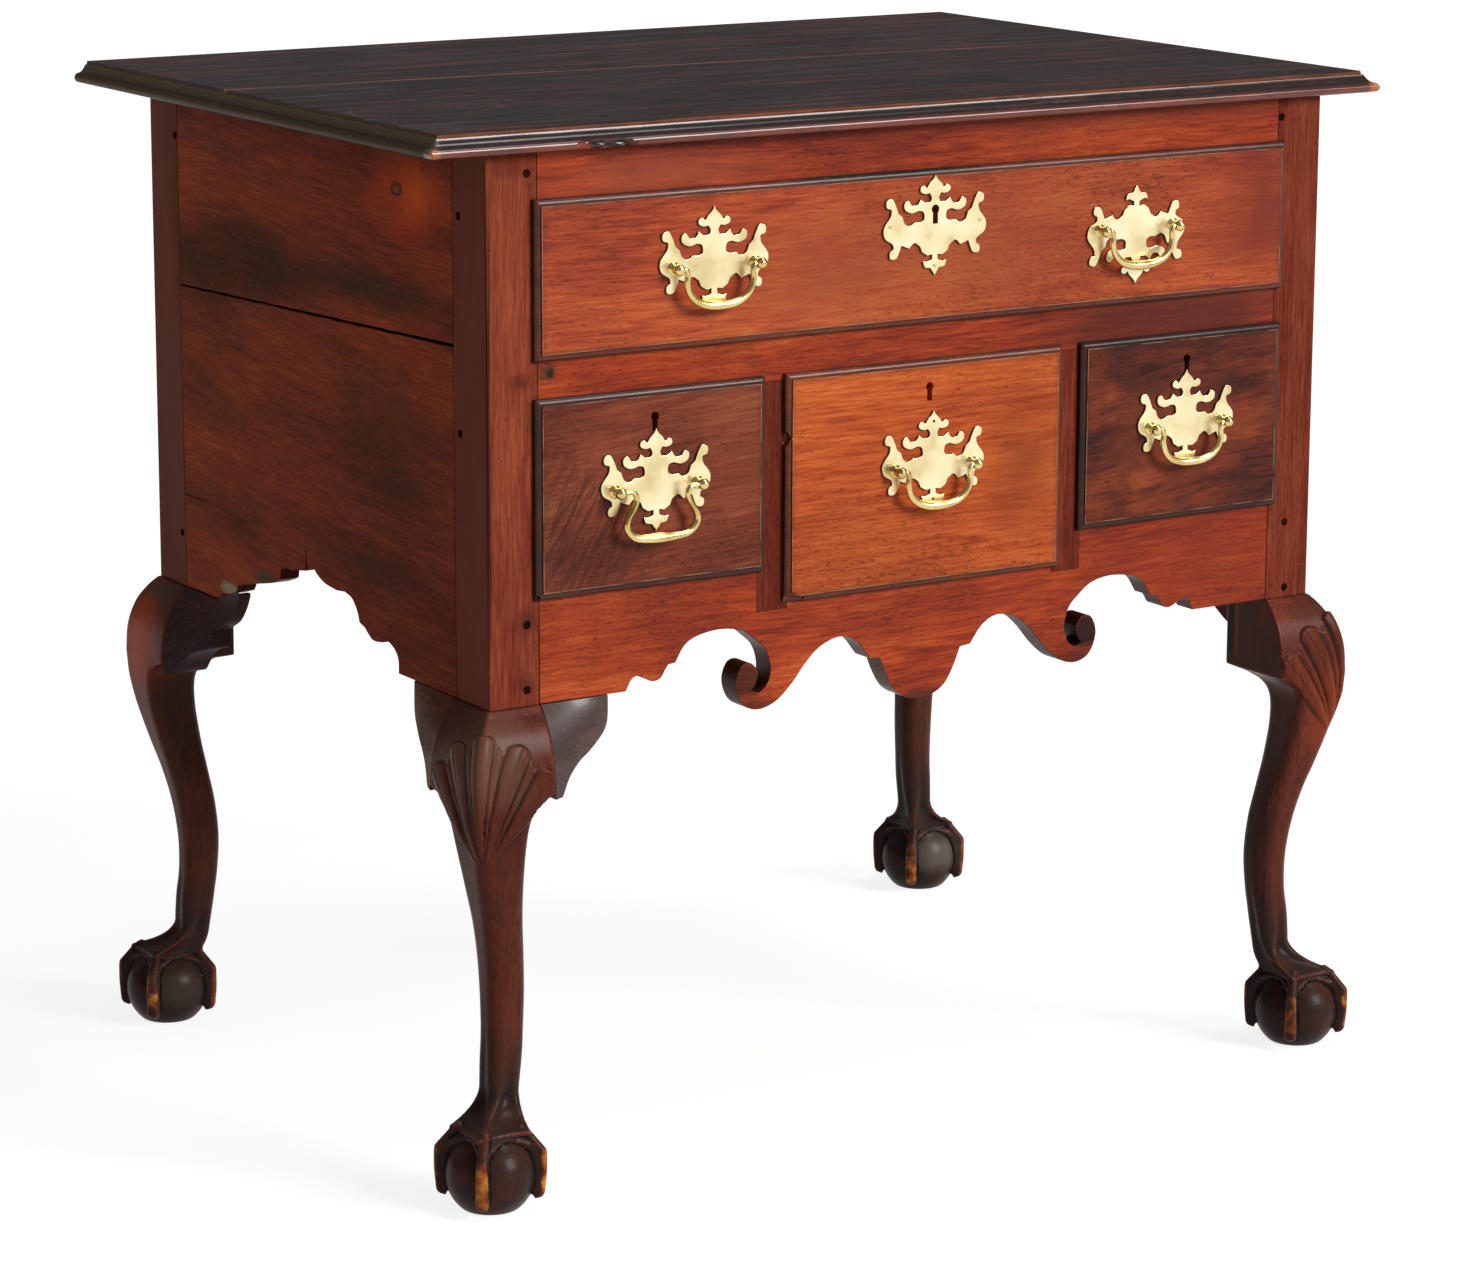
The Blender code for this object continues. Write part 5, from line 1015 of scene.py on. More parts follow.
frontForm = (ogeeEdge, bracketShape["frontLength"], bracketShape["frontBack"], bracketWalnut)
sideForm = (ogeeEdge, bracketShape["sideLength"], bracketShape["sideBack"], sideBracketWalnut)
steppedForm = (steppedEdge, bracketShape["steppedLength"], bracketShape["sideBack"], rearBracketWalnut, 1.1, steppedTop)
kneeBracket("bracketFrontLeft", "knee_bracket_front_left_front", -1, -1, True, *frontForm)
kneeBracket("bracketFrontLeftSide", "knee_bracket_front_left_side", -1, -1, False, *sideForm)
kneeBracket("bracketRearLeftSide", "knee_bracket_rear_left_side", -1, 1, False, *steppedForm)
kneeBracket("bracketFrontRightSide", "knee_bracket_front_right_side", 1, -1, False, *sideForm)
kneeBracket("bracketRearRightSide", "knee_bracket_rear_right_side", 1, 1, False, *sideForm)
print("stage: knee brackets")


# Top
topShape = {"left": -0.41, "right": 0.41, "front": -0.273, "rear": 0.293, "seamLeft": 0.057, "seamRight": 0.019,
            "seamGap": 0.0009, "lengthSteps": 90, "depthSteps": 30, "wobble": 0.00035, "edge": 0.0004}
topMould = [
    (0.0, 0.0034), (0.001, 0.0012, "s"), (0.0036, 0.0, "s"), (0.006, 0.0008, "s"), (0.0074, 0.003, "s"),
    (0.0075, 0.0044), (0.0092, 0.0066, "s"), (0.0118, 0.0084, "s"), (0.0132, 0.009), (0.0136, 0.0105),
    (0.0155, 0.0107, "s"), (0.016, 0.0116),
]


topWalnut = walnutMaterial("agedWalnutTop", {
    "grain": "X", "tones": "#0C090B #150F11 #251719 #43241F", "grime": "#100D0F", "age": 0.15, "patches": 9.0,
    "glossy": 0.33, "dull": 0.39, "wander": 0.02, "specular": 0.042, "bump": 0.5, "cloudLong": 0.05, "cloud": 0.24,
    "streak": 0.38, "streakScale": 190.0, "fibre": 0.34, "coatRoughness": 0.16, "poreTone": "#060405",
    "marks": [(veins, "#6A2E26", 130.0, 0.53, 0.63, 0.85, 0.03), (veins, "#6E6664", 330.0, 0.57, 0.66, 0.55, 0.12),
              (seamHighlight, topShape["seamLeft"], topShape["seamRight"], topShape["right"]),
              (loop, (-0.318, -0.12, 0.762), (0.062, 0.03, 0.05), "#6E4034", 0.06, 0.55),
              (loop, (-0.3, -0.118, 0.762), (0.105, 0.044, 0.05), "#5A322A", 0.05, 0.35), (nosingWear,),
              # Painted shade in the bite out of the nosing's bead
              (patch, (-0.27, -0.2698, 0.7488), (0.019, 0.0022, 0.0028), "#1A0F0C", 0.4, 0.9),
              (stain, (-0.4085, -0.272, 0.749), (0.008, 0.007, 0.007), "#B4683A", 0.5, 0.9),
              (stain, (0.4075, -0.2715, 0.75), (0.01, 0.006, 0.007), "#C27238", 0.6, 0.9)]})


def topBoard(name, node, front, chips):
    rings = []
    left, right = topShape["left"], topShape["right"]
    for height, inset in smoothLine(topMould, 0.0012, closed=False):
        z = caseSizes["top"] + height
        slope = (topShape["seamRight"] - topShape["seamLeft"]) / (right - left)
        shift = -topShape["seamGap"] / 2 if front else topShape["seamGap"] / 2
        outer = topShape["front"] + inset if front else topShape["rear"]
        a, b = Vector((left + inset, outer)), Vector((right - inset, outer))
        c = Vector((right - inset, topShape["seamRight"] - slope * inset + shift))
        d = Vector((left + inset, topShape["seamLeft"] + slope * inset + shift))
        long, deep = topShape["lengthSteps"], topShape["depthSteps"]
        ring = []
        for start, end, steps in ((a, b, long), (b, c, deep), (c, d, long), (d, a, deep)):
            for p in (start.lerp(end, k / steps) for k in range(steps)):
                # Old nosing, worn and dented a little along its length
                push = topShape["wobble"] * (noise.noise(Vector((p.x * 34, p.y * 34, z * 300))) - 0.5)
                ring.append((p.x * (1 + push), p.y * (1 + push), z))
        rings.append(ring)
    board = grownThrough(rings)
    softenEdges(board, topShape["edge"], 60)
    cutAway(board, [chip(*c) for c in chips])
    finishPiece(board, name, topWalnut, "case", node, angle=28)


topBoard("topFrontBoard", "top_front_board", True, [
    ((-0.27, -0.2738, 0.7492), (0.0215, 0.005, 0.0038)), ((-0.29, -0.2738, 0.75), (0.0085, 0.0036, 0.004)),
    ((0.3, -0.2736, 0.748), (0.005, 0.0018, 0.0024)), ((-0.4104, -0.2736, 0.749), (0.002, 0.002, 0.006)),
])
topBoard("topRearBoard", "top_rear_board", False, [])
print("stage: top boards")


# Apron
apronShape = {"thickness": 0.02, "edge": 0.0007, "step": 0.0013, "lapBottom": 0.4045, "lapDepth": 0.008}
apronEdge = [
    (0.0, 0.3236, "s"), (0.012, 0.3252, "s"), (0.0225, 0.332, "s"), (0.03, 0.344, "s"), (0.0357, 0.3575),
    (0.0445, 0.3585), (0.056, 0.3722, "s"), (0.07, 0.3778, "s"), (0.087, 0.373, "s"), (0.1, 0.3624, "s"),
    (0.112, 0.3485, "s"), (0.126, 0.3368, "s"), (0.1417, 0.3327, "s"), (0.1545, 0.3385, "s"),
    (0.1602, 0.353, "s"), (0.156, 0.3656, "s"), (0.1475, 0.3676, "s"), (0.1415, 0.361, "s"),
    (0.1428, 0.3525, "s"), (0.1468, 0.3472), (0.14, 0.3452, "s"), (0.133, 0.3515, "s"), (0.1306, 0.362, "s"),
    (0.1345, 0.3752, "s"), (0.1425, 0.3835, "s"), (0.155, 0.3922, "s"), (0.172, 0.3955, "s"),
    (0.19, 0.3936, "s"), (0.2025, 0.388, "s"), (0.2108, 0.3758), (0.2165, 0.3752), (0.2195, 0.3712, "s"),
    (0.2228, 0.3662, "s"), (0.229, 0.3645, "s"), (0.235, 0.3668, "s"), (0.2415, 0.3698, "s"),
    (0.2468, 0.3682, "s"), (0.2518, 0.36),
]


def frontApron():
    end = caseSizes["postInnerX"] - caseSizes["fit"]
    half = [(0.0, caseSizes["centreFloor"]), (caseSizes["dividerIn"], caseSizes["centreFloor"]),
            (caseSizes["dividerIn"], caseSizes["sideFloor"]), (end, caseSizes["sideFloor"]), (end, 0.36)]
    rightHalf = half[1:] + list(reversed(apronEdge))
    line = smoothLine(rightHalf + mirrored(rightHalf[:-1]), apronShape["step"])
    apron = sawnPiece(line, apronShape["thickness"], apronShape["edge"],
                      facingFront(frontY + apronShape["thickness"] / 2))
    laps = []
    for sign in (-1, 1):
        low, high = sorted((sign * caseSizes["dividerIn"], sign * caseSizes["dividerOut"]))
        laps.append(block((low, frontY - 0.002, apronShape["lapBottom"]),
                          (high, frontY + apronShape["lapDepth"], caseSizes["sideFloor"] + 0.002)))
    cutAway(apron, laps)
    cleanMesh(apron, 0.00005)
    finishPiece(apron, "frontApron", frontWalnut, "case", "front_apron")


frontApron()
print("stage: apron")


# Side boards
sideShape = {"step": 0.0016, "edge": 0.0006, "crackFront": 0.6093, "crackRear": 0.5961, "gapFront": 0.0022,
             "gapRear": 0.0012, "ragged": 0.0005}
scallop = [
    (0.0, 0.413), (0.005, 0.4095, "s"), (0.0166, 0.4052, "s"), (0.0352, 0.4033), (0.048, 0.4046),
    (0.059, 0.4018, "s"), (0.0668, 0.394, "s"), (0.0705, 0.386), (0.0783, 0.3838), (0.0848, 0.3795, "s"),
    (0.0915, 0.3768, "s"), (0.103, 0.3778, "s"), (0.1144, 0.3805), (0.1235, 0.3765, "s"),
    (0.1288, 0.37, "s"), (0.1293, 0.36),
]
# The rear half of the left board has lost its scallop: an old break and an open split at the middle
brokenEdge = [
    (0.0108, 0.4105), (0.0119, 0.4296), (0.0135, 0.4092), (0.0143, 0.4088), (0.039, 0.405), (0.042, 0.4068),
    (0.048, 0.404), (0.0531, 0.4033), (0.0552, 0.3946), (0.06, 0.3925), (0.0714, 0.3888), (0.09, 0.385),
    (0.118, 0.379), (0.125, 0.3768), (0.129, 0.3712), (0.142, 0.3672), (0.153, 0.365), (0.161, 0.3606),
    (0.2142, 0.3602),
]


def raggedLine(start, end, steps, amount, seed):
    # A torn edge: points from start to end with small uneven steps
    line = []
    for k in range(steps + 1):
        t = k / steps
        u, v = start[0] + (end[0] - start[0]) * t, start[1] + (end[1] - start[1]) * t
        tear = noise.noise(Vector((u * 60, seed, 0))) + 0.5 * noise.noise(Vector((u * 260, seed, 1)))
        line.append((u, v + amount * tear))
    return line


def sideBoard(name, node, xMiddle, topFront, topRear, bottom, rearEdge):
    inner = caseSizes["postInnerY"] - caseSizes["fit"]
    ragged = sideShape["ragged"]
    line = raggedLine((inner, topRear), (-inner, topFront), 60 if topRear < 0.7 else 1,
                      ragged if topRear < 0.7 else 0.0, 3.0)
    if bottom is None:
        line += [(-inner, 0.36)] + mirrored(scallop)
        line += rearEdge[1:] if rearEdge is scallop else rearEdge
        if rearEdge is scallop:
            line.append((inner, 0.36))
    else:
        line += raggedLine((-inner, bottom[0]), (inner, bottom[1]), 60, ragged, 8.0)
    piece = sawnPiece(smoothLine(line, sideShape["step"]), caseSizes["board"], sideShape["edge"],
                      facingSide(xMiddle))
    finishPiece(piece, name, sideWalnut, "case", node)


sideMiddle = caseSizes["halfWidth"] - caseSizes["board"] / 2
sideTop = caseSizes["top"] - caseSizes["fit"]
crack = (sideShape["crackFront"], sideShape["crackRear"], sideShape["gapFront"] / 2, sideShape["gapRear"] / 2)
sideBoard("sideLeftLower", "side_left_lower_board", -sideMiddle, crack[0] - crack[2], crack[1] - crack[3], None,
          brokenEdge)
sideBoard("sideLeftUpper", "side_left_upper_board", -sideMiddle, sideTop, sideTop,
          (crack[0] + crack[2], crack[1] + crack[3]), None)
sideBoard("sideRight", "side_right_board", sideMiddle, sideTop, sideTop, None, scallop)
print("stage: side boards")


# Drawer fronts
lipShape = {"over": 0.0045, "behind": 0.001, "corner": 0.0009, "step": 0.012, "wobble": 0.00012}
# Thumb moulding: how far proud of the case's front, how far in from the lip's edge
thumb = [
    (0.001, 0.0), (0.0021, 0.0), (0.003, 0.00022, "s"), (0.0038, 0.0008, "s"), (0.0045, 0.0017, "s"),
    (0.005, 0.0029, "s"), (0.0052, 0.0044), (0.006, 0.0045), (0.0062, 0.00475),
]
keyholeShape = {"hole": 0.0033, "slot": 0.0044, "drop": 0.0105, "deep": 0.012}


def drawerBox(left, right, bottom, top):
    # Middle and half sizes of a drawer's lipped front, from its opening
    lip = lipShape["over"]
    return ((left + right) / 2, (bottom + top) / 2), ((right - left) / 2 + lip, (top - bottom) / 2 + lip)


longBox = drawerBox(-caseSizes["postInnerX"], caseSizes["postInnerX"], caseSizes["railTop"], caseSizes["topRail"])
leftBox = drawerBox(-caseSizes["postInnerX"], -caseSizes["dividerOut"], caseSizes["sideFloor"],
                    caseSizes["railBottom"])
centreBox = drawerBox(-caseSizes["dividerIn"], caseSizes["dividerIn"], caseSizes["centreFloor"],
                      caseSizes["railBottom"])
rightBox = drawerBox(caseSizes["dividerOut"], caseSizes["postInnerX"], caseSizes["sideFloor"],
                     caseSizes["railBottom"])
longWalnut = walnutMaterial("polishedWalnutLongDrawer", {
    "grain": "X", "tones": "#802E1C #AA4628 #BE562C #CE6E38", "grime": "#7C2E1C", "age": 0.45, "patches": 5.0,
    "specular": 0.17,
    "marks": [(stain, (0.31, -0.267, 0.665), (0.085, 0.02, 0.07), "#7A2C1C", 0.9, 0.9),
              (stain, (0.05, -0.267, 0.66), (0.14, 0.02, 0.06), "#9C442A", 0.9, 0.5),
              (stain, (-0.095, -0.267, 0.65), (0.11, 0.02, 0.06), "#964028", 0.9, 0.7),
              (stain, (-0.184, -0.267, 0.655), (0.06, 0.02, 0.04), "#7A2C20", 0.9, 0.35), (edgeBand, *longBox),
              # Painted shade along the chipped top edge of the lip
              (patch, (-0.0385, -0.266, 0.7125), (0.0905, 0.012, 0.0028), "#120A08", 0.3, 0.9)]})
leftWalnut = walnutMaterial("curlyWalnutDrawer", {
    "grain": "X", "tones": "#56261A #783724 #8C452E #A65E3A", "grime": "#4A2218", "age": 0.38, "patches": 16.0,
    "turn": (0, 0.06, 0), "streak": 0.12, "cloud": 0.46, "fibre": 0.18, "bump": 0.1, "specular": 0.12,
    "marks": [(streaks, (-0.292, -0.267, 0.48), (0.075, 0.05, 0.07), -1.02, "#44201A", 0.75),
              (stain, (-0.3, -0.267, 0.47), (0.05, 0.02, 0.05), "#4A2018", 0.9, 0.7), (edgeBand, *leftBox)]})
centreWalnut = walnutMaterial("polishedWalnutCentreDrawer", {
    "grain": "X", "tones": "#94381C #B85026 #CA622C #D6783C", "grime": "#8C3A20", "age": 0.45, "patches": 5.0,
    "wander": 0.006, "streakLong": 0.05, "specular": 0.12,
    "marks": [(stain, (0.085, -0.267, 0.49), (0.05, 0.02, 0.07), "#90401F", 0.9, 0.75), (edgeBand, *centreBox)]})
rightWalnut = walnutMaterial("darkWalnutDrawer", {
    "grain": "X", "tones": "#3A1814 #602A1C #7C3620 #96482A", "grime": "#40201A", "patches": 20.0,
    "turn": (0, 0.06, 0), "swirl": 0.5, "wander": 0.03, "cloudScale": 30.0, "cloudLong": 0.4, "cloud": 0.42,
    "streak": 0.16, "fibre": 0.14, "bump": 0.08, "specular": 0.12,
    "marks": [(stain, (0.23, -0.267, 0.505), (0.08, 0.02, 0.05), "#8A4028", 0.9, 0.6), (edgeBand, *rightBox)]})


def keyhole(x, z, thickness, y):
    shape = keyholeShape
    rounds = [Vector((x + shape["hole"] * cos(a), z + shape["hole"] * sin(a)))
              for a in [radians(-48 + 276 * k / 16) for k in range(17)]]
    foot = [Vector((x + s * shape["slot"] / 2, z - shape["drop"])) for s in (-1, 1)]
    return sawnPiece(rounds + foot, thickness, 0.0, facingFront(y))


def mouldedRing(box, proud, inset):
    # One line round the lip: straight sides with little corners, a hair uneven from wear
    (cx, cz), (hx, hz) = box
    hx, hz, r = hx - inset, hz - inset, lipShape["corner"]
    corners = []
    for sx, sz, start in ((1, -1, -pi / 2), (1, 1, 0), (-1, 1, pi / 2), (-1, -1, pi)):
        corners.append([Vector((cx + sx * (hx - r) + r * cos(start + k * pi / 8),
                                cz + sz * (hz - r) + r * sin(start + k * pi / 8))) for k in range(5)])
    line = []
    for number, corner in enumerate(corners):
        line += corner
        start, end = corner[-1], corners[(number + 1) % 4][0]
        # As many points on every line, whatever its inset
        steps = max(2, round(2 * box[1][1 - number % 2] / lipShape["step"]))
        line += [start.lerp(end, k / steps) for k in range(1, steps)]
    ring = []
    for p in line:
        push = lipShape["wobble"] * noise.noise(Vector((p.x * 40, p.y * 40, proud * 200))) if inset else 0.0
        ring.append((p.x + push, frontY - proud, p.y + push))
    return ring


def drawerFront(name, node, body, material, box, key, chips):
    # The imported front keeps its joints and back; its moulded face is sawn off and worked again, finer
    rear = copyOfNode(node)
    sawn = frontY - lipShape["behind"]
    cutAway(rear, [block((-0.5, frontY - 0.05, 0.3), (0.5, sawn, 0.8))] + [chip(*c) for c in chips])
    face = grownThrough([mouldedRing(box, proud, inset) for proud, inset in smoothLine(thumb, 0.0005, closed=False)])
    cutAway(face, [keyhole(*key, keyholeShape["deep"], sawn - 0.003)] + [chip(*c) for c in chips])
    finishPiece(joinPieces([face, rear]), name, material, body, node, angle=28)


drawerFront("frontLong", "drawer_long_front", "drawer_long", longWalnut, longBox, (0.003, 0.6848), [
    ((-0.092, -0.268, 0.7145), (0.015, 0.004, 0.0028)), ((-0.015, -0.268, 0.7148), (0.008, 0.0046, 0.003))])
drawerFront("frontLeft", "drawer_left_front", "drawer_left", leftWalnut, leftBox, (-0.2315, 0.5558), [
    ((-0.3268, -0.268, 0.436), (0.004, 0.005, 0.003))])
drawerFront("frontCentre", "drawer_centre_front", "drawer_centre", centreWalnut, centreBox,
            (0.0012, 0.5558), [
    ((-0.119, -0.2672, 0.4085), (0.014, 0.005, 0.0085)), ((-0.1222, -0.266, 0.529), (0.0042, 0.006, 0.0058)),
    ((-0.113, -0.268, 0.5284), (0.007, 0.0018, 0.0022))])
drawerFront("frontRight", "drawer_right_front", "drawer_right", rightWalnut, rightBox,
            (0.2355, 0.5558), [])
print("stage: drawer fronts")


# Brasses
plateShape = {"thickness": 0.0015, "edge": 0.00055, "step": 0.0011, "postSpacing": 0.0674, "pinRadius": 0.0011,
              "postBall": 0.0043, "bailHole": 0.0021}
plateEdge = [
    (0.0, 0.0419), (0.0022, 0.0384, "s"), (0.0056, 0.0352, "s"), (0.0074, 0.0322), (0.0098, 0.034, "s"),
    (0.013, 0.0328, "s"), (0.0128, 0.0294, "s"), (0.009, 0.0276, "s"), (0.005, 0.028), (0.0034, 0.025, "s"),
    (0.0046, 0.0218), (0.009, 0.0218), (0.0128, 0.0246), (0.016, 0.0204, "s"), (0.0204, 0.0204),
    (0.0232, 0.024, "s"), (0.027, 0.0222, "s"), (0.0262, 0.0172, "s"), (0.0205, 0.0146, "s"), (0.0142, 0.016),
    (0.0104, 0.0148, "s"), (0.0098, 0.0098, "s"), (0.013, 0.0078), (0.018, 0.008), (0.0222, 0.0058, "s"),
    (0.0262, 0.0078, "s"), (0.0284, 0.013), (0.0318, 0.0156), (0.034, 0.0212, "s"), (0.0372, 0.0262, "s"),
    (0.0424, 0.025, "s"), (0.0422, 0.02, "s"), (0.038, 0.0182), (0.039, 0.0134, "s"), (0.0446, 0.0056, "s"),
    (0.0436, -0.002, "s"), (0.037, -0.0066, "s"), (0.0362, -0.01), (0.0394, -0.0124, "s"),
    (0.0386, -0.0172, "s"), (0.0334, -0.017, "s"), (0.0306, -0.012, "s"), (0.0292, -0.0082),
    (0.0222, -0.0106), (0.018, -0.007, "s"), (0.013, -0.0098), (0.0112, -0.014), (0.0066, -0.0168),
    (0.0024, -0.0162), (0.0026, -0.0194), (0.0068, -0.0212), (0.0102, -0.0206), (0.0088, -0.025, "s"),
    (0.0036, -0.0262), (0.0, -0.0314),
]
plateFrontY = caseSizes["drawerFaceY"] - 0.0003 - plateShape["thickness"]


def plateBody(x, z, upside):
    right = list(plateEdge[1:-1])
    line = smoothLine([plateEdge[0]] + right + [plateEdge[-1]] + mirrored(right), plateShape["step"])
    line = [Vector((x + upside * p.x, z + upside * p.y)) for p in line]
    return sawnPiece(line, plateShape["thickness"], plateShape["edge"],
                     facingFront(plateFrontY + plateShape["thickness"] / 2))


postProfile = [
    (0, -0.0043), (0.0011, -0.00415), (0.0022, -0.0037), (0.0031, -0.003), (0.0038, -0.002), (0.0042, -0.0009),
    (0.0043, 0.0), (0.0042, 0.001), (0.0038, 0.002), (0.0032, 0.0027), (0.0029, 0.0034), (0.0028, 0.0052),
    (0.0032, 0.006), (0.0042, 0.0066), (0.0049, 0.0072), (0.005, 0.008), (0.0029, 0.0081), (0.0021, 0.009),
    (0.0021, 0.0303), (0.0058, 0.0303), (0.0058, 0.032), (0.0048, 0.0333), (0.0021, 0.0335), (0.0019, 0.0348),
    (0, 0.0348),
]


def drawerPull(name, node, body, x, z, upside, pins):
    place = [Matrix.Translation((x + s * plateShape["postSpacing"] / 2, caseSizes["bailY"], z))
             @ Matrix.Rotation(-pi / 2, 4, "X") for s in (-1, 1)]
    posts = [turnedPiece(postProfile, p) for p in place]
    for s, post in zip((-1, 1), posts):
        face = x + s * (plateShape["postSpacing"] / 2 - plateShape["postBall"])
        hole = roundBar([(face - s * 0.002, caseSizes["bailY"], z), (face + s * 0.003, caseSizes["bailY"], z)],
                        [plateShape["bailHole"]] * 2)
        cutAway(post, [hole])
    plate = plateBody(x, z, upside)
    cutAway(plate, [roundBar([(x + u, plateFrontY - 0.002, z + v), (x + u, plateFrontY + 0.004, z + v)],
                             [plateShape["pinRadius"]] * 2) for u, v in pins])
    finishPiece(plate, name + "Plate", plateBrass, body, node, angle=40)
    for side, post in zip(("Left", "Right"), posts):
        finishPiece(post, name + "Post" + side, bailBrass, body, node, angle=50)


plainBail = [
    (0.0, 0.027, 0.0034, "s"), (0.01, 0.0264, 0.0031, "s"), (0.019, 0.0232, 0.0028, "s"),
    (0.025, 0.0172, 0.0025, "s"), (0.0272, 0.01, 0.0022, "s"), (0.0268, 0.0045, 0.002, "s"),
    (0.0274, 0.0012, 0.0019, "s"), (0.0288, 0.0, 0.0017, "s"),
]
swanBail = [
    (0.0, 0.0345, 0.0037, "s"), (0.011, 0.0342, 0.0033, "s"), (0.022, 0.0325, 0.0028, "s"),
    (0.0285, 0.0262, 0.0025, "s"), (0.028, 0.019, 0.0023, "s"), (0.0232, 0.0115, 0.0021, "s"),
    (0.0208, 0.006, 0.002, "s"), (0.0222, 0.0015, 0.0019, "s"), (0.0255, 0.0, 0.0017, "s"),
]


def bail(name, node, body, x, z, half):
    right = half[1:] + [(0.0308, 0.0, 0.0016), (0.0321, 0.0, 0.0016)]
    rows = smoothLine(mirrored(right) + [half[0]] + right, 0.0012, closed=False)
    bar = roundBar([(x + u, caseSizes["bailY"], z - drop) for u, drop, radius in rows],
                   [radius for u, drop, radius in rows], 6)
    finishPiece(bar, name + "Bail", bailBrass, body, node, angle=50)


# Name, place of its middle, 1 for a plate the right way up and -1 for upside down, bail and pins
pulls = [("LongLeft", "long", -0.184, 0.6585, 1, plainBail, []),
         ("LongRight", "long", 0.184, 0.6585, -1, plainBail, []),
         ("Left", "left", -0.2315, 0.506, 1, swanBail, []),
         ("Centre", "centre", 0.004, 0.4968, 1, plainBail, [(0.0, 0.0335), (0.0, -0.0235)]),
         ("Right", "right", 0.2345, 0.5062, 1, plainBail, [])]
for name, drawer, x, z, upside, half, pins in pulls:
    place = {"LongLeft": "long_left", "LongRight": "long_right"}.get(name, drawer)
    drawerPull("pull" + name, f"pull_{place}_plate", "drawer_" + drawer, x, z, upside, pins)
    bail("pull" + name, f"pull_{place}_bail", "bail_" + place, x, z, half)
print("stage: pulls")

escutcheonShape = {"x": 0.003, "keyZ": 0.6848, "rise": 0.0165,
                   "pins": [(-0.0392, 0.006), (0.0392, 0.006), (0.0, -0.024)]}


def escutcheon():
    shape = escutcheonShape
    z = shape["keyZ"] - shape["rise"]
    plate = plateBody(shape["x"], z, 1)
    cutAway(plate, [keyhole(shape["x"], shape["keyZ"], 0.006, plateFrontY)])
    finishPiece(plate, "escutcheonPlate", plateBrass, "drawer_long", "escutcheon", angle=40)
    profile = [(0, -0.0008), (0.0007, -0.00065), (0.0012, -0.0003), (0.0015, 0.0001), (0.001, 0.0002),
               (0.0007, 0.0011), (0.0005, 0.004), (0, 0.0048)]
    for number, (u, v) in enumerate(shape["pins"]):
        place = Matrix.Translation((shape["x"] + u, plateFrontY, z + v)) @ Matrix.Rotation(-pi / 2, 4, "X")
        finishPiece(turnedPiece(profile, place, 16), f"escutcheonPin{number + 1}", bailBrass, "drawer_long", angle=50)


escutcheon()
print("stage: escutcheon")


# Pegs of the joints
pegShape = {"radius": 0.0031, "proud": 0.00018, "deep": 0.004}
frontPegs = [(-0.3299, 0.7314), (0.325, 0.731), (0.3401, 0.3675), (0.3386, 0.419), (-0.3317, 0.4176),
             (-0.332, 0.3714)]
sidePegs = [(-0.2227, 0.7002), (0.2183, 0.7103), (-0.223, 0.549), (0.22, 0.4016)]
pegWalnut = walnutMaterial("endGrainPeg", {
    "grain": "Y", "tones": "#140A08 #1E0F0B #2A140F #3A1C14", "grime": "#120A08", "age": 0.4, "patches": 40.0,
    "specular": 0.0, "glossy": 0.8, "dull": 0.9})


def peg(name, place, seed):
    # A hand cut pin: not quite round and a hair proud of the wood that has shrunk round it
    profile = [(0, pegShape["proud"]), (pegShape["radius"] * 0.8, pegShape["proud"]),
               (pegShape["radius"], 0.0), (pegShape["radius"] * 0.96, -pegShape["deep"]), (0, -pegShape["deep"])]
    piece = turnedPiece(profile, Matrix(), 14)
    for vert in piece.data.vertices:
        swell = 1 + 0.1 * noise.noise(Vector((vert.co.x * 300, vert.co.y * 300, seed)))
        vert.co.x *= swell
        vert.co.y *= swell
    piece.matrix_world = place
    finishPiece(piece, name, pegWalnut, "case")


for number, (x, z) in enumerate(frontPegs):
    peg(f"pegFront{number + 1}", Matrix.Translation((x, frontY, z)) @ Matrix.Rotation(pi / 2, 4, "X"), number)
for number, (y, z) in enumerate(sidePegs):
    peg(f"pegSide{number + 1}", Matrix.Translation((-caseSizes["halfWidth"], y, z)) @ Matrix.Rotation(-pi / 2, 4, "Y"),
        9 + number)
print("stage: pegs")


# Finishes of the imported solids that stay
packedFinishes = {"walnut_front": frontWalnut, "walnut_side": sideWalnut, "walnut_leg": legWalnut,
                  "walnut_top": topWalnut, "walnut_drawer": longWalnut, "walnut_dark_drawer": leftWalnut,
                  "walnut_light_drawer": centreWalnut, "pine": pine, "brass": bailBrass, "iron": iron}
# Boards whose finish isn't that of their slot: posts between drawers, and pine with its grain from side to side
ownFinishes = {**dict.fromkeys(("divider_left", "divider_right"), postWalnut),
               **dict.fromkeys(("back_board", "drawer_long_back", "drawer_left_back", "drawer_centre_back",
                                "drawer_right_back"), crossPine)}
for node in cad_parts:
    for slot in bpy.data.objects[node].material_slots:
        base = slot.material.name.split(".")[0] if slot.material else "pine"
        slot.material = ownFinishes.get(node, packedFinishes.get(base, pine))
print("stage: finishes of the packed solids")


# Floor, light and camera
lightValues = {"world": 0.22, "paperGlow": 0.84}
# Name, where it shines from, spread in degrees and strength
wideLights = [("keyLight", (1.7, -2.9, 1.7), 24, 2.6), ("overLight", (0.4, -0.22, 1.0), 22, 0.85)]


def whiteSeen(tree):
    # 1 for rays of the camera, of reflections and of glass, which see the paper as plain white
    camera, glossy, glass = (addNode(tree, "ShaderNodeLightPath", {}, f"Is {kind} Ray") for kind in ("Camera",
            "Glossy", "Transmission"))
    return addNode(tree, "ShaderNodeMath", {"operation": "MAXIMUM", 0: addNode(tree, "ShaderNodeMath",
            {"operation": "MAXIMUM", 0: camera, 1: glossy}), 1: glass})


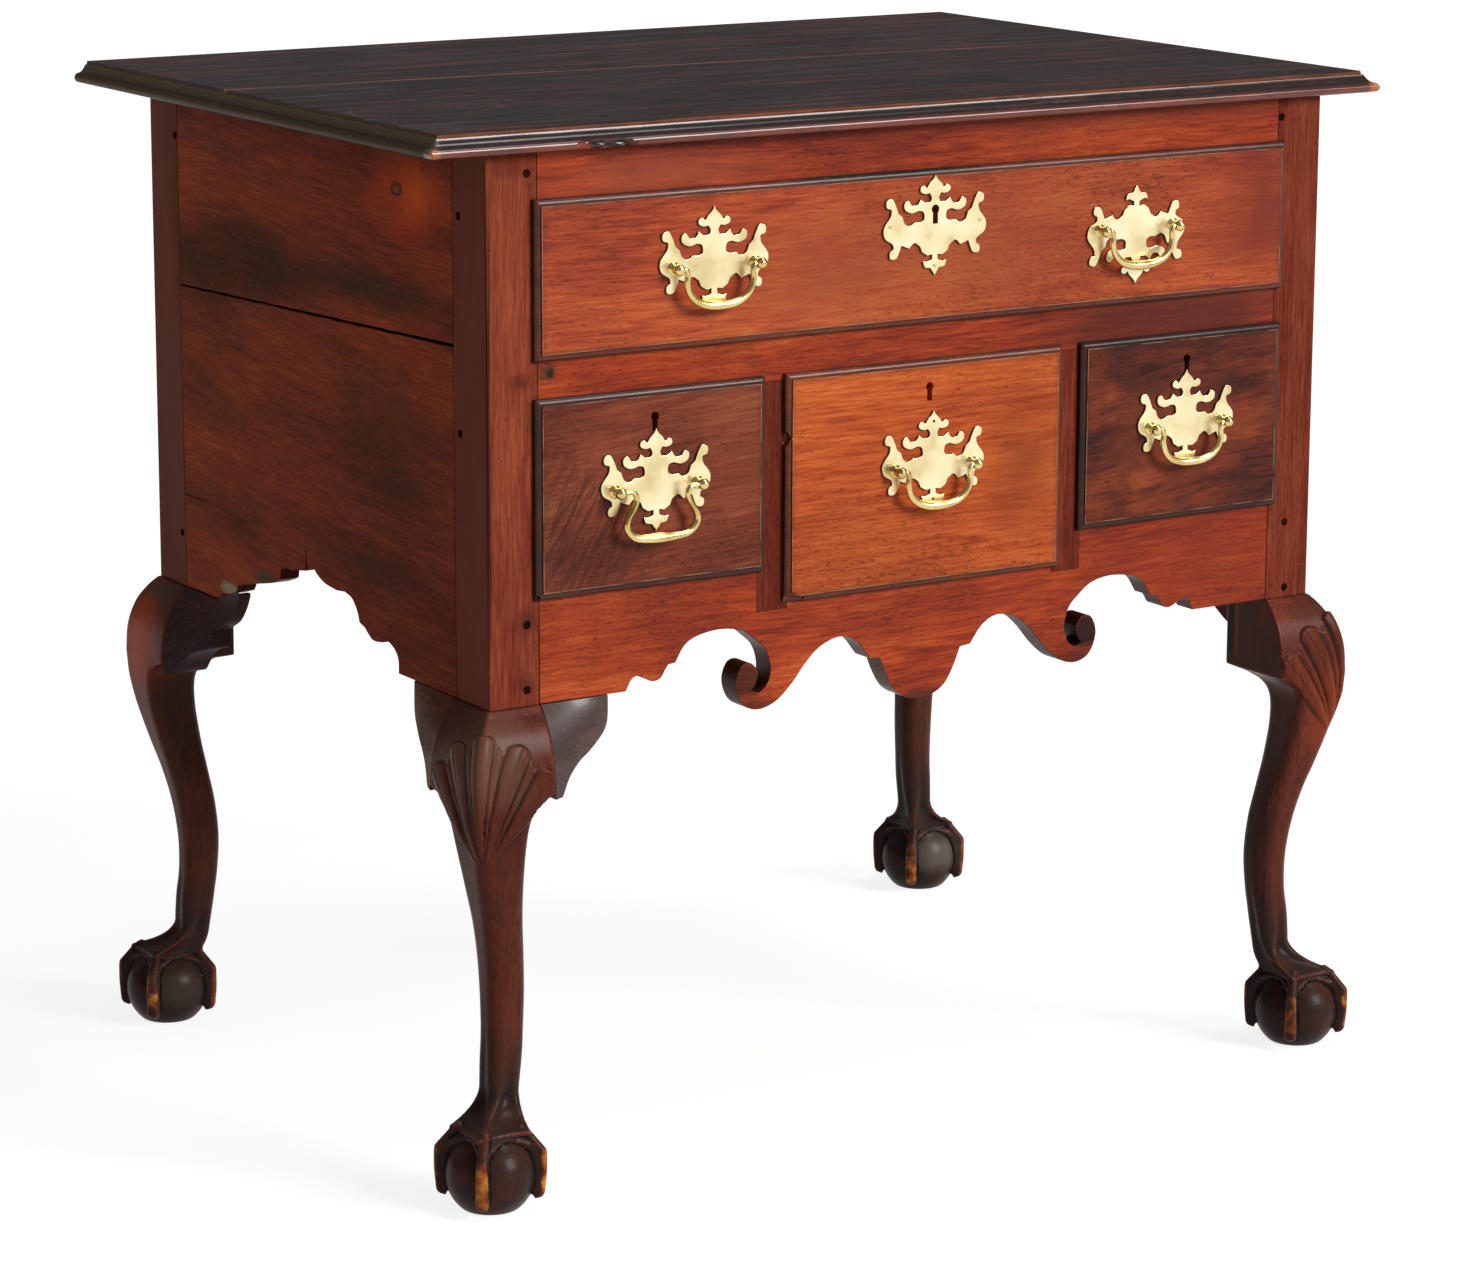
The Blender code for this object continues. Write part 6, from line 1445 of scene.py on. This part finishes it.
def studioFloor():
    # Plain roll of pale paper that fills the picture and keeps the shadow
    clearSelection()
    bpy.ops.mesh.primitive_plane_add(size=60, location=(0, 0, 0))
    floor = bpy.context.object
    floor.name = "studioFloor"
    material, tree, place = freshMaterial("paleRollPaper", {"Roughness": 0.9, "Specular IOR Level": 0.1})
    paper = addNode(tree, "ShaderNodeValToRGB", {"Fac": addNode(tree, "ShaderNodeTexNoise",
            {"Vector": place, "Scale": 3.0, "Detail": 2.0}), "stops": [(0.3, "#B4B4B4"), (0.7, "#BABABA")]})
    seen = whiteSeen(tree)
    feed(tree, {"Base Color": addNode(tree, "ShaderNodeMix", {"data_type": "RGBA", 0: seen, 6: paper, 7: "#909090"},
            2)})
    white = addNode(tree, "ShaderNodeEmission", {"Color": (1, 1, 1, 1), "Strength": addNode(tree, "ShaderNodeMath",
            {"operation": "MULTIPLY", 0: seen, 1: lightValues["paperGlow"]})})
    lifted = addNode(tree, "ShaderNodeAddShader", {0: tree.nodes["Principled BSDF"].outputs["BSDF"], 1: white})
    tree.links.new(lifted, tree.nodes["Material Output"].inputs["Surface"])
    floor.data.materials.append(material)


def wideLight(name, direction, spread, strength):
    # A large far softbox: even over the whole floor, soft edged by its spread in degrees
    data = bpy.data.lights.new(name, "SUN")
    data.angle = radians(spread)
    data.energy = strength
    light = bpy.data.objects.new(name, data)
    light.rotation_euler = Vector(direction).to_track_quat("Z", "Y").to_euler()
    bpy.context.scene.collection.objects.link(light)


studioFloor()
for values in wideLights:
    wideLight(*values)

world = bpy.data.worlds.new("studioWorld")
bpy.context.scene.world = world
world.use_nodes = True
sky = world.node_tree.nodes["Background"]
sky.inputs["Color"].default_value = (1, 1, 1, 1)
sky.inputs["Strength"].default_value = lightValues["world"]

cameraValues = {"place": (-1.9003, -2.9891, 1.1339), "aim": (0.52515, 0.82454, -0.21061), "roll": 0.0034,
                "lens": 114.56, "shiftX": -0.00075, "shiftY": -0.0501}
cameraData = bpy.data.cameras.new("photoCamera")
cameraData.sensor_width = 36
cameraData.lens = cameraValues["lens"]
cameraData.shift_x = cameraValues["shiftX"]
cameraData.shift_y = cameraValues["shiftY"]
camera = bpy.data.objects.new("photoCamera", cameraData)
turn = Vector(cameraValues["aim"]).to_track_quat("-Z", "Y").to_matrix().to_4x4()
camera.matrix_world = Matrix.Translation(cameraValues["place"]) @ turn @ Matrix.Rotation(cameraValues["roll"], 4, "Z")
bpy.context.scene.collection.objects.link(camera)
bpy.context.scene.camera = camera
bpy.context.scene.view_settings.view_transform = "Standard"
print("stage: floor, light and camera")
